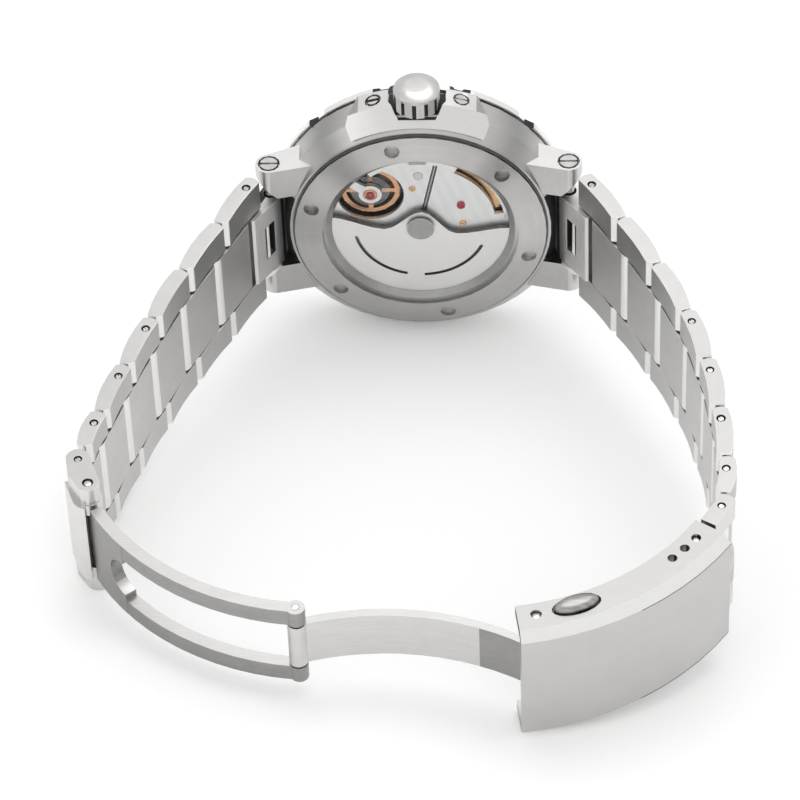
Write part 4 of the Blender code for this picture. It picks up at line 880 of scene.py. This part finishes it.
def dressEnd(label):
    node = f"{label}_end_piece"
    here = localPin(node + "_pivot")
    way, inwards, pitch = armAxes(here, localPin(f"{label}_link_1_pivot"), label)
    obj = coat(copyOf(node, f"{label}EndPiece"), "linkInnerShade", "polished", "dark", "endPlate", "highlightFacet", "long")
    soften(obj, endLook["edge"], slot=edgeSlot)
    barAlong, barDeep = endLook["bar"]

    # the window's walls and the barrel end take painted shade, with a bright bar painted in the window
    def pick(middle, out):
        along = (middle - here).dot(way)
        deep = (middle - here).dot(inwards)
        if abs(middle.z) < endLook["half"] and endLook["window"][0] < along < endLook["window"][1]:
            if math.hypot(along - barAlong, deep - barDeep) < endLook["barReach"]:
                return "highlightFacet"
            if endLook["deep"][0] < deep < endLook["deep"][1]:
                return "dark"
        if out.dot(inwards) < endLook["outside"]:
            return "long"
        if along < endLook["barrel"]:
            return "dark"
        if out.dot(inwards) > endLook["inside"] or abs(out.z) > endLook["flat"]:
            return "endPlate"
        return None

    paintFaces(obj, pick)
    settle(obj, node, "brushed_steel", node)


for label in ("left", "right"):
    for order in range(1, lengths[label] + 1):
        dressLink(label, order)
    dressEnd(label)
print("bracelet dressed")


# softened copies of the other steel solids: node, edge, finishes with the edges' second, slot
dressTable = [
    ("mid_case", 0.2, ("round", "polished", "lug", "dark"), "brushed_steel"),
    ("crown_guard", 0.12, ("guard", "polished", "dark", "hub"), "brushed_steel"),
    # the rounded edges of the screws and lug bars are painted black, as shade round them
    ("guard_screw_left", 0.1, ("polished", "dark"), "polished_steel"),
    ("guard_screw_right", 0.1, ("polished", "dark"), "polished_steel"),
    ("left_lug_bar", 0.12, ("polished", "dark"), "polished_steel"),
    ("right_lug_bar", 0.12, ("polished", "dark"), "polished_steel"),
    ("case_back_ring", 0.12, ("round", "polished"), "brushed_steel"),
    ("bezel", 0.14, ("highlightFacet", "polished", "dark"), "brushed_steel"),
    ("crown", 0.07, ("dome", "polished", "dark"), "polished_steel"),
    ("outer_blade", 0.16, ("railSideShade", "polished", "railTop"), "brushed_steel"),
    ("inner_blade", 0.12, ("strip", "polished", "railTop", "railSideShade"), "brushed_steel"),
    ("clasp_cover", 0.14, ("coverFace", "polished", "coverTop", "highlightFacet", "dark", "railSideShade"),
     "brushed_steel"),
    ("spring_bar", 0.1, ("satin",), "polished_steel"),
    ("cover_hinge_pin", 0.1, ("polished",), "polished_steel"),
    ("fold_hinge_pin", 0.1, ("polished",), "polished_steel"),
    ("blade_hinge_pin", 0.1, ("polished",), "polished_steel"),
    ("train_bridge", 0.1, ("plate", "polished"), "movement_plate"),
    ("barrel_bridge", 0.1, ("plate", "polished"), "movement_plate"),
    ("rotor_bearing", 0.06, ("hub", "polished"), "polished_steel"),
    ("balance_wheel", 0.07, ("copper", "gilt"), "gilt"),
    ("mainspring_barrel", 0.08, ("gilt",), "gilt"),
    ("hour_hand", 0.05, ("polished",), "polished_steel"),
    ("minute_hand", 0.05, ("polished",), "polished_steel"),
    ("seconds_hand", 0.04, ("polished",), "polished_steel"),
]
crownLook = {
    "axis": 3.2, "flute": 3.33, "rim": 24.5, "wall": 0.3,
    # the guard's slanted face, the mouth cut into it and the walls beside the crown
    "spot": Vector((0, 0.62, 20.98)), "up": Vector((0, 1, 1)).normalized(),
    "face": Vector((0, -1, 1)).normalized(),
    "mouth": ((-2.7, 0.0), (2.7, 0.0), (3.05, 0.88), (3.05, 1.5), (-3.05, 1.5), (-3.05, 0.88)),
    "deep": 0.42, "clear": 1.0, "below": -0.02, "beside": 0.03, "walls": (0.88, 4.15), "ends": 0.4,
}
caseLook = {"bay": 6.9, "flank": 17.0, "back": 3.0, "lug": 17.5, "lugReach": 21.2, "lean": 0.3}
coverLook = {
    "circle": 37.2, "angle": 52.3, "wall": 8.75, "lip": 0.5, "hinge": 5.0,
    # how squarely a face looks that way
    "inside": -0.4, "flat": 0.9, "bevel": 0.4, "outside": 0.3, "upright": 0.3, "end": 0.6,
    # the seam's heights, and the radius and angle past which it shows
    "seam": (8.84, 9.02), "seamUpright": 0.5, "face": 40.6, "seamFrom": 33.0,
}
bezelLook = {"notches": 12, "start": 13.4, "axis": 22.0, "reach": 1.75}
bladeLook = {"flat": 0.7, "step": 9.3}
coverAngle = math.radians(coverLook["angle"])
coverHinge = localPin("cover_pivot")
coverWay = Vector((math.sin(coverAngle), -math.cos(coverAngle), 0))
coverCentre = coverHinge - coverWay * coverLook["circle"]


def caseFaces(middle, out):
    # lugs take painted light above and in front; the bay between them takes painted shade
    if abs(middle.z) < caseLook["bay"] and abs(middle.x) > caseLook["flank"] and middle.y < caseLook["back"]:
        return "dark"
    if abs(middle.x) > caseLook["lug"] and middle.length > caseLook["lugReach"]:
        return "lug" if abs(out.z) > caseLook["lean"] or out.y < -caseLook["lean"] else None
    return None


def coverRay(middle):
    # from the axis that the cover is bent about
    return Vector((middle.x - coverCentre.x, middle.y - coverCentre.y, 0))


# the inside faces and the holes take painted shade, and the bevel a painted highlight
def coverFaces(middle, out):
    outwards = out.dot(coverRay(middle).normalized())
    tall = abs(middle.z)
    if outwards < coverLook["inside"]:
        return "railSideShade"
    if abs(out.z) > coverLook["flat"]:
        hinged = (middle.xy - coverHinge.xy).length < coverLook["hinge"]
        plain = hinged or middle.z < 0 or tall > coverLook["wall"] + coverLook["lip"]
        return "coverTop" if plain else "dark"
    if coverLook["bevel"] < abs(out.z) < coverLook["flat"] and outwards > coverLook["outside"]:
        return "highlightFacet"
    if tall > coverLook["wall"] and abs(out.z) < coverLook["upright"] and outwards < coverLook["end"]:
        return "dark" if middle.z > 0 else "coverTop"
    return None


def coverSeam(middle, out):
    # a thin dark line under the bevel, over the half by the hinge
    ray = coverRay(middle)
    turn = math.degrees(math.atan2(ray.x, -ray.y))
    low, high = coverLook["seam"]
    upright = abs(out.z) < coverLook["seamUpright"]
    edge = low < abs(middle.z) < high and ray.length > coverLook["face"] and upright
    return "dark" if edge and turn > coverLook["seamFrom"] else None


def guardFaces(middle, out):
    # the mouth round the crown and the walls beside it are painted black as shade, and the ends are painted a
    # shade darker than the front
    rise = (middle - crownLook["spot"]).dot(crownLook["up"])
    low, high = crownLook["mouth"][1], crownLook["mouth"][2]
    half = low[0] + (high[0] - low[0]) * min(1.0, max(0.0, rise / high[1]))
    if rise > crownLook["below"] and abs(middle.x) < half + crownLook["beside"]:
        return "dark"
    start, wide = crownLook["walls"]
    if rise > start and abs(middle.x) < wide and out.x * middle.x < 0:
        return "dark"
    return "hub" if abs(out.x) > crownLook["ends"] else None


def crownFaces(middle, out):
    # the hollows between the flutes take painted shade
    low = math.hypot(middle.x, middle.y - crownLook["axis"]) < crownLook["flute"]
    return "dark" if low and abs(out.z) < crownLook["wall"] and middle.z < crownLook["rim"] else None


def railFaces(middle, out):
    return "railTop" if abs(out.z) > bladeLook["flat"] else None


def stripFaces(middle, out):
    # the strip is painted darker past the step, as shade where it goes into the cover
    return railFaces(middle, out) or ("railSideShade" if middle.x > bladeLook["step"] else None)


def bezelFaces(middle, out):
    # the walls of the grip notches are painted black, as shade
    for i in range(bezelLook["notches"]):
        angle = math.radians(bezelLook["start"] + 360 * i / bezelLook["notches"])
        notch = Vector((math.cos(angle), math.sin(angle))) * bezelLook["axis"]
        if (middle.xz - notch).length < bezelLook["reach"]:
            return "dark"
    return None


# planes that part a piece's faces, each a spot and a direction
slices = {
    "mid_case": [((0, caseLook["back"], 0), (0, 1, 0))],
    "clasp_cover": [((0, 0, side * coverLook["seam"][0]), (0, 0, 1)) for side in (-1, 1)],
    "inner_blade": [((bladeLook["step"], 0, 0), (1, 0, 0))],
}
# what paints a piece's faces, and whether it also paints the rounded edges
paints = {
    "mid_case": [(caseFaces, False)], "crown_guard": [(guardFaces, False)], "crown": [(crownFaces, True)],
    "bezel": [(bezelFaces, True)], "outer_blade": [(railFaces, False)], "inner_blade": [(stripFaces, False)],
    "clasp_cover": [(coverFaces, False), (coverSeam, True)],
}
bodyOf = {name: body for body, names in frame["record"]["behaviour"]["bodies"].items() for name in names}
for node, width, names, slotName in dressTable:
    made = coat(copyOf(node, node + "Finish"), *names)
    if node == "crown_guard":
        cutAway(made, prism("mouth", crownLook["mouth"], -crownLook["deep"], crownLook["clear"], onGuard))
    for spot, way in slices.get(node, ()):
        sliceFaces(made, Vector(spot), Vector(way))
    soften(made, width, slot=edgeSlot if len(names) > 1 else -1)
    for pick, overEdges in paints.get(node, ()):
        paintFaces(made, pick, overEdges)
    settle(made, bodyOf[node], slotName, node)

# solids that only take a finish
# the main plate takes the shaded steel, as painted shade seen round the balance
plainTable = {
    "case_back_crystal": "backGlass", "front_crystal": "frontGlass", "case_back_gasket": "rubber",
    "crown_gasket": "rubber", "flange_ring": "dial", "dial": "dial", "movement_holder": "satin",
    "main_plate": "shade", "crown_tube": "polished", "winding_stem": "polished", "bezel_insert": "ceramic",
}
for node, name in plainTable.items():
    coat(nodes[node], name)

# a dark ring in the seat between the back ring and the case, painted shade for the seam's line
seatLook = {"radii": (18.53, 18.77), "rises": (-0.22, 0.3), "sides": 128}
inner, outer = seatLook["radii"]
low, high = seatLook["rises"]
seat = lathe("seatLine", [(inner, low), (outer, low), (outer, high), (inner, high), (inner, low)],
             (0, 0, 0), toDial, seatLook["sides"])
settle(smooth(coat(seat, "shade")), "case", "brushed_steel")

# a black plate behind the crown, painted shade for the gap round it
shadePlateLook = {
    "outline": ((-3.0, 1.35), (3.0, 1.35), (4.1, 3.2), (4.1, 5.75), (-4.1, 5.75), (-4.1, 3.2)),
    "from": 21.35, "to": 21.5, "hole": 1.3, "holeReach": 1, "sides": 32, "edge": 0.03,
}
shadePlate = prism("crownWell", shadePlateLook["outline"], shadePlateLook["from"], shadePlateLook["to"], onCrownSide)
cutAway(shadePlate, plug("hole", shadePlateLook["hole"], -shadePlateLook["holeReach"], shadePlateLook["holeReach"],
                   (0, crownLook["axis"], shadePlateLook["from"]), toCrown, shadePlateLook["sides"]))
settle(soften(coat(shadePlate, "dark"), shadePlateLook["edge"]), "case", "black_rubber")
print("solids dressed", len(dressTable))


# rotor with its two curved slots
rotorLook = {
    "edge": 0.06, "slotIn": 9.45, "slotOut": 9.95, "slots": ((191, 257), (272, 337)), "steps": 16,
    "through": 1, "upright": 0.4, "inside": 13.2,
}
low, high = localBox("rotor")
over, under = low.y - rotorLook["through"], high.y + rotorLook["through"]
rotor = copyOf("rotor", "rotorWeight")
for first, last in rotorLook["slots"]:
    outline = arcBand(rotorLook["slotIn"], rotorLook["slotOut"], first, last, rotorLook["steps"])
    cutAway(rotor, prism("slot", outline, over, under, onBack))
coat(rotor, "rotor", "polished", "shade")
soften(rotor, rotorLook["edge"], slot=edgeSlot)


def rotorFaces(middle, out):
    # walls inside the rim take painted shade
    return "shade" if abs(out.y) < rotorLook["upright"] and middle.xz.length < rotorLook["inside"] else None


paintFaces(rotor, rotorFaces)
settle(rotor, "rotor", "movement_plate", "rotor")

# push buttons: satin ovals with domed caps, as shares of the outline and of the dome's height
buttonLook = {
    "rings": ((1.0, 0.0), (0.97, 0.45), (0.86, 0.8), (0.6, 1.0), (0.3, 1.08), (0.02, 1.1)),
    "rise": 1.0, "proud": 0.4, "onFace": 0.01, "smooth": 60,
}


def domedButton(node, name, body, sign):
    low, high = localBox(node)
    inner, face = (low.z, high.z) if sign > 0 else (high.z, low.z)
    spots = [toLocal @ corner.co / mm for corner in nodes[node].data.vertices]
    outline = [(spot.x, spot.y) for spot in spots if abs(spot.z - face) < buttonLook["onFace"]]
    middle = Vector((sum(a for a, b in outline), sum(b for a, b in outline))) / len(outline)
    unique = {(round(a, 3), round(b, 3)) for a, b in outline}
    ring = sorted(unique, key=lambda spot: math.atan2(spot[1] - middle.y, spot[0] - middle.x))
    shoulder = face + sign * (buttonLook["proud"] - buttonLook["rise"])
    top = buttonLook["rings"][-1][1]
    scale = sign * buttonLook["rise"] / top
    levels = [(1.0, inner)] + [(share, shoulder + scale * rise) for share, rise in buttonLook["rings"]]
    spots = []
    for share, z in levels:
        spots += [(middle.x + (a - middle.x) * share, middle.y + (b - middle.y) * share, z) for a, b in ring]
    count = len(ring)
    faces = [list(range(count)), [len(spots) - count + i for i in range(count)]]
    for base in range(0, len(spots) - count, count):
        for i in range(count):
            j = (i + 1) % count
            faces.append([base + i, base + j, base + count + j, base + count + i])
    obj = smooth(coat(fromParts(name, spots, faces), "button"), buttonLook["smooth"])
    settle(obj, body, "polished_steel", node)


domedButton("upper_push_button", "upperButton", "upper_button", 1)
domedButton("lower_push_button", "lowerButton", "lower_button", -1)

# rivet heads where the blades meet
rivetLook = {"size": 0.6, "sink": 0.02}
foldPin = localMiddle("fold_hinge_pin")
low, high = localBox("outer_blade")
rivets = [((foldPin.x, foldPin.y, high.z - rivetLook["sink"]), (0, 0, 1)),
          ((foldPin.x, foldPin.y, low.z + rivetLook["sink"]), (0, 0, -1))]
rivets = scatter("foldRivets", domeShapes["rivet"], rivets, rivetLook["size"], "highlightFacet")
settle(rivets, "outer_blade", "polished_steel")
print("clasp dressed")


# movement details on the bridges' face, as seen through the window
bridgeFace = localBox("train_bridge")[0].y
balance = localPin("balance_swing")
barrel = localPin("barrel_turn")


def bridgeSpots(spots, sink):
    return [((x, bridgeFace + sink, z), toBack) for x, z in spots]


screwLook = {"spots": ((6.2, -0.1), (-1.1, 6.8)), "sink": 0.05, "size": 0.5}
screws = bridgeSpots(screwLook["spots"], screwLook["sink"])
settle(scatter("bridgeScrews", screwHead, screws, screwLook["size"], "gilt"), "case", "gilt")

jewelLook = {"spots": ((6.0, 3.5), balance.xz), "sink": -0.02, "size": 0.62}
jewels = bridgeSpots(jewelLook["spots"], jewelLook["sink"])
settle(scatter("jewels", domeShapes["jewel"], jewels, jewelLook["size"], "ruby"), "case", "movement_plate")

recessLook = {
    "profile": [(0, 0.02), (0.55, 0.02), (0.62, 0.1), (0.72, 0.1), (0.76, 0), (0.76, -0.1), (0, -0.1)],
    "spot": (-0.15, 9.3), "sides": 32,
}
recess = lathe("bridgeRecess", recessLook["profile"], onBack(*recessLook["spot"], bridgeFace), toBack,
               recessLook["sides"])
settle(smooth(coat(recess, "satin")), "case", "movement_plate")

settingLook = {"sink": 0.09, "size": 0.72}
settings = bridgeSpots([balance.xz], settingLook["sink"])
settings = scatter("jewelSettings", domeShapes["setting"], settings, settingLook["size"], "copper")
settle(settings, "case", "gilt")

# the cock: a round head on a slim arm that reaches the rim
cockLook = {"head": 1.75, "half": 0.75, "reach": 13.3, "steps": (28, 4), "edge": 0.1}
low, high = localBox("balance_cock")
turn = math.degrees(math.atan2(balance.z, balance.x))
bend = math.degrees(math.asin(cockLook["half"] / cockLook["head"]))
swing = math.degrees(math.asin(cockLook["half"] / cockLook["reach"]))
outline = arcPoints(*balance.xz, cockLook["head"], turn + bend, turn + 360 - bend, cockLook["steps"][0])
outline += arcPoints(0, 0, cockLook["reach"], turn - swing, turn + swing, cockLook["steps"][1])
cock = coat(prism("balanceCock", outline, low.y, high.y, onBack), "plate", "polished")
settle(soften(cock, cockLook["edge"], slot=edgeSlot), "case", "movement_plate", "balance_cock")

# a grey cone inside the window, painted shade in the gap round the rotor
coneLook = {"radii": (13.05, 13.9), "rises": (-0.36, 0.38), "thick": 0.12, "sides": 96}
inner, outer = coneLook["radii"]
low, high = coneLook["rises"]
thick = coneLook["thick"]
profile = [(outer, low), (inner, high), (inner + thick, high + thick), (outer, low + 2 * thick),
           (outer, low)]
cone = lathe("windowCone", profile, (0, 0, 0), toDial, coneLook["sides"])
settle(smooth(coat(cone, "hub")), "case", "brushed_steel")

# a grey strip in the seam between the bridges, painted as the seam's shade, and a pale arc over the barrel's edge
seamLook = {"angle": 78.0, "half": 0.14, "from": 2.5, "to": 13.2, "sink": (0.05, 0.5), "edge": 0.03}
arcLook = {"in": 12.35, "out": 13.4, "from": 0, "to": 64, "steps": 24, "thick": 0.5, "edge": 0.06}
angle = math.radians(seamLook["angle"])
along = Vector((math.cos(angle), math.sin(angle)))
beside = Vector((-along.y, along.x)) * seamLook["half"]
first, last = along * seamLook["from"], along * seamLook["to"]
low, high = (bridgeFace + sink for sink in seamLook["sink"])
strip = prism("seamStrip", [first - beside, last - beside, last + beside, first + beside], low, high, onBack)
arc = arcBand(arcLook["in"], arcLook["out"], arcLook["from"], arcLook["to"], arcLook["steps"])
arc = prism("paleArc", arc, bridgeFace, bridgeFace + arcLook["thick"], onBack)
fillers = [soften(coat(strip, "hub"), seamLook["edge"]), soften(coat(arc, "plate"), arcLook["edge"])]
settle(joinAll("bridgeFillers", fillers), "case", "movement_plate")

# balance: screws round its rim and the hairspring over it
pegLook = {"shape": (0.16, (-0.2, 0.2), 0.14), "count": 16, "radius": 4.22, "start": 0.1}
coilLook = {"turns": 9.0, "inner": 0.9, "outer": 2.9, "wire": 0.09, "over": 0.12}
rimPeg = blockSource("rimPegShape", *pegLook["shape"])
pegs = ringOf("balanceScrews", rimPeg, pegLook["count"], pegLook["radius"], localMiddle("balance_wheel").y,
              "gilt", pegLook["start"], balance.xz)
settle(pegs, "balance", "gilt")
spring = grow("hairspring", "spring", {
    "Turns": coilLook["turns"], "Inner": coilLook["inner"] * mm, "Outer": coilLook["outer"] * mm,
    "Wire": coilLook["wire"] * mm, "Material": mats["polished"]})
coilSpot = onBack(*balance.xz, localBox("balance_wheel")[0].y - coilLook["over"])
spring.data.transform(watch @ Matrix.Translation(coilSpot * mm) @ Matrix.Rotation(math.pi / 2, 4, "X"))
settle(smooth(spring, weighted=False), "balance", "polished_steel")

# the barrel's teeth, narrower at the tip than at the root
toothLook = {"root": (-0.2, 0.14), "tip": (0.26, 0.05), "half": 0.27, "count": 72, "radius": 5.3}
(root, wide), (tip, narrow) = toothLook["root"], toothLook["tip"]
section = ((root, -wide), (root, wide), (tip, narrow), (tip, -narrow))
tooth = [(x, y, z) for y in (-toothLook["half"], toothLook["half"]) for x, z in section]
tooth = shapeSource("toothShape", tooth, [(0, 1, 2, 3), (7, 6, 5, 4), (0, 4, 5, 1), (1, 5, 6, 2),
                                          (2, 6, 7, 3), (3, 7, 4, 0)])
teeth = ringOf("barrelTeeth", tooth, toothLook["count"], toothLook["radius"],
               localMiddle("mainspring_barrel").y, "gilt", centre=barrel.xz)
settle(teeth, "barrel", "gilt")

# pieces of the ring that clamps the movement, seen inside the window's upper edge
clampLook = {
    "in": 11.75, "out": 12.9, "rise": 0.23, "sink": 0.1, "steps": 18, "edge": 0.06,
    "pieces": ((98, 127, "rotor"), (85, 97, "hub"), (64, 84, "rotor")),
}
clamps = []
for first, last, name in clampLook["pieces"]:
    outline = arcBand(clampLook["in"], clampLook["out"], first, last, clampLook["steps"])
    clamp = prism("clamp", outline, bridgeFace - clampLook["rise"], bridgeFace + clampLook["sink"], onBack)
    clamps.append(soften(coat(clamp, name), clampLook["edge"]))
settle(joinAll("clampRing", clamps), "case", "movement_plate")
print("movement detailed")


# dial markers, lume and the bezel's scale: shape, count, radius, finish and slot
dialMarks = {
    "minuteTrack": ((0.45, (-0.02, 0.04), 0.06), 60, 12.75, "paint", "dial_paint"),
    "hourFrames": ((1.25, (-0.02, 0.28), 0.5), 12, 10.7, "polished", "polished_steel"),
    "hourLume": ((1.05, (0.2, 0.34), 0.34), 12, 10.7, "lume", "dial_paint"),
}
bezelMarks = {
    "bezelTicks": ((0.55, (-0.02, 0.05), 0.09), 60, 19.5, "paint", "black_ceramic"),
    "bezelMarks": ((0.9, (-0.02, 0.05), 0.16), 12, 18.9, "paint", "black_ceramic"),
}


def setMarks(marks, body, face):
    for name, (shape, count, radius, finish, slotName) in marks.items():
        bar = blockSource(name + "Shape", *shape)
        settle(ringOf(name, bar, count, radius, face, finish), body, slotName)


handLook = {
    "hour_hand": {"reach": (2.6, 6.2), "half": 0.5}, "minute_hand": {"reach": (3.4, 9.7), "half": 0.4},
    "taper": 0.8, "sink": (0.1, 0.02), "edge": 0.02,
}


def handLume(node):
    # a filled strip along a hand; each hand is a body of the same name
    high = localBox(node)[1]
    way = localMiddle(node).xz.normalized()
    side = Vector((-way.y, way.x)) * handLook[node]["half"]
    first, last = (way * reach for reach in handLook[node]["reach"])
    tip = side * handLook["taper"]
    bottom, top = (high.y - sink for sink in handLook["sink"])
    obj = prism(node + "Lume", [first - side, last - tip, last + tip, first + side], bottom, top, onBack)
    settle(soften(coat(obj, "lume"), handLook["edge"], segments=1), node, "dial_paint")


insertFace = localBox("bezel_insert")[1].y
setMarks(dialMarks, "case", localBox("dial")[1].y)
handLume("hour_hand")
handLume("minute_hand")
setMarks(bezelMarks, "bezel", insertFace)

numeralLook = {"numbers": (10, 20, 30, 40, 50), "size": 2.3, "radius": 18.2, "thick": 0.04, "lift": 0.01}


def numeral(number):
    curve = bpy.data.curves.new("numeral", "FONT")
    curve.body = str(number)
    curve.align_x = "CENTER"
    curve.align_y = "CENTER"
    curve.size = numeralLook["size"] * mm
    curve.extrude = numeralLook["thick"] * mm
    obj = addObject("numeral", curve)
    mesh = bpy.data.meshes.new_from_object(obj.evaluated_get(bpy.context.evaluated_depsgraph_get()))
    bpy.data.objects.remove(obj)
    angle = math.radians(360 * number / 60)
    # the dial's viewer looks along -Y with twelve, +X, upwards
    out = Vector((math.cos(angle), 0, math.sin(angle)))
    face = Vector(toDial)
    turn = Matrix((out.cross(face), out, face)).transposed().to_4x4()
    turn.translation = (out * numeralLook["radius"] + face * (insertFace + numeralLook["lift"])) * mm
    mesh.transform(watch @ turn)
    return coat(addObject(f"numeral{number}", mesh), "paint")


numerals = [numeral(number) for number in numeralLook["numbers"]]
settle(joinAll("bezelNumerals", numerals), "bezel", "black_ceramic")

pipLook = {
    "profile": [(0, 0.32), (0.4, 0.3), (0.62, 0.16), (0.68, -0.02), (0, -0.02)],
    "radius": 18.6, "sides": 24, "smooth": 50,
}
pip = lathe("zeroPip", pipLook["profile"], (pipLook["radius"], insertFace, 0), toDial, pipLook["sides"])
settle(smooth(coat(pip, "lume"), pipLook["smooth"]), "bezel", "black_ceramic")
print("dial and bezel marked")

for source in sources:
    bpy.data.objects.remove(source)


# studio
floorLevel = min(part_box(node)[0].z for node in nodes)
studio = {
    "floor": 0.9, "mirrored": 0.95, "lift": 0.2, "reach": 1.5,   # floor as seen, and as the steel sees it
    "sky": 0.78, "top": 0.8, "skyRise": (-0.1, 0.9), "aim": (0, -0.02, 0),
    "topBox": {"place": (0.05, 0.15, 0.85), "size": 0.8, "power": 1.8},
    "leftBox": {"place": (-0.7, -0.35, 0.45), "size": 0.5, "power": 0.5},
}


def studioFloor():
    mesh = bpy.data.meshes.new("floor")
    corners = [(x * studio["reach"], y * studio["reach"], floorLevel)
               for x, y in ((-1, -1), (1, -1), (1, 1), (-1, 1))]
    mesh.from_pydata(corners, [], [(0, 1, 2, 3)])
    material = bpy.data.materials.new("paleFloor")
    start = freshTree(material)
    seen = start.add("ShaderNodeLightPath", {}, {}, "Is Camera Ray")
    paper = start.add("ShaderNodeBsdfDiffuse", {}, {"Color": (studio["mirrored"],) * 3 + (1,)})
    shaded = start.add("ShaderNodeBsdfDiffuse", {}, {"Color": (studio["floor"],) * 3 + (1,)})
    lift = start.add("ShaderNodeEmission", {}, {"Color": white, "Strength": studio["lift"]})
    lit = start.add("ShaderNodeAddShader", {}, {0: shaded, 1: lift})
    mixed = start.add("ShaderNodeMixShader", {}, {0: seen, 1: paper, 2: lit})
    start.add("ShaderNodeOutputMaterial", {}, {"Surface": mixed})
    mesh.materials.append(material)
    addObject("floor", mesh)


def studioSky():
    world = bpy.data.worlds.new("studioSky")
    bpy.context.scene.world = world
    start = freshTree(world)
    x, y, z = split(start, start.add("ShaderNodeTexCoord", {}, {}, "Generated"))
    tone = z.ramp(*studio["skyRise"], studio["sky"], studio["top"])
    sky = start.add("ShaderNodeBackground", {}, {"Color": joinUp(start, tone, tone, tone), "Strength": 1.0})
    plain = start.add("ShaderNodeBackground", {}, {"Color": white, "Strength": 1.0})
    seen = start.add("ShaderNodeLightPath", {}, {}, "Is Camera Ray")
    mixed = start.add("ShaderNodeMixShader", {}, {0: seen, 1: sky, 2: plain})
    start.add("ShaderNodeOutputWorld", {}, {"Surface": mixed})


def softBox(name):
    light = bpy.data.lights.new(name, "AREA")
    light.shape = "DISK"
    light.size = studio[name]["size"]
    light.energy = studio[name]["power"]
    obj = addObject(name, light)
    obj.location = studio[name]["place"]
    aim = Vector(studio["aim"]) - obj.location
    obj.rotation_euler = aim.to_track_quat("-Z", "Y").to_euler()


studioFloor()
studioSky()
softBox("topBox")
softBox("leftBox")

# camera, matched to the photograph in the watch's millimetres
view = {
    "rise": 45.595, "side": 2.865, "roll": -2.433, "away": 690.88, "shift": (3.0268, 25.1612),
    "pixels": 4700.0, "width": 800.0, "sensor": 36.0, "near": 0.01,
}
rise, side, roll = (math.radians(view[key]) for key in ("rise", "side", "roll"))
eye = Vector((math.sin(side) * math.cos(rise), -math.cos(side) * math.cos(rise), math.sin(rise)))
eye = eye * view["away"]
ahead = -eye.normalized()
right = ahead.cross(Vector(toCrown)).normalized()
above = right.cross(ahead)
right, above = (right * math.cos(roll) + above * math.sin(roll),
                above * math.cos(roll) - right * math.sin(roll))
eye = eye - right * view["shift"][0] - above * view["shift"][1]
lens = bpy.data.cameras.new("camera")
lens.sensor_width = view["sensor"]
lens.lens = view["pixels"] / view["width"] * view["sensor"]
lens.clip_start = view["near"]
camera = addObject("camera", lens)
facing = Matrix((right, above, -ahead)).transposed().to_4x4()
camera.matrix_world = watch @ Matrix.Translation(eye * mm) @ facing
scene = bpy.context.scene
scene.camera = camera
scene.view_settings.view_transform = "Standard"
print("studio and camera set")
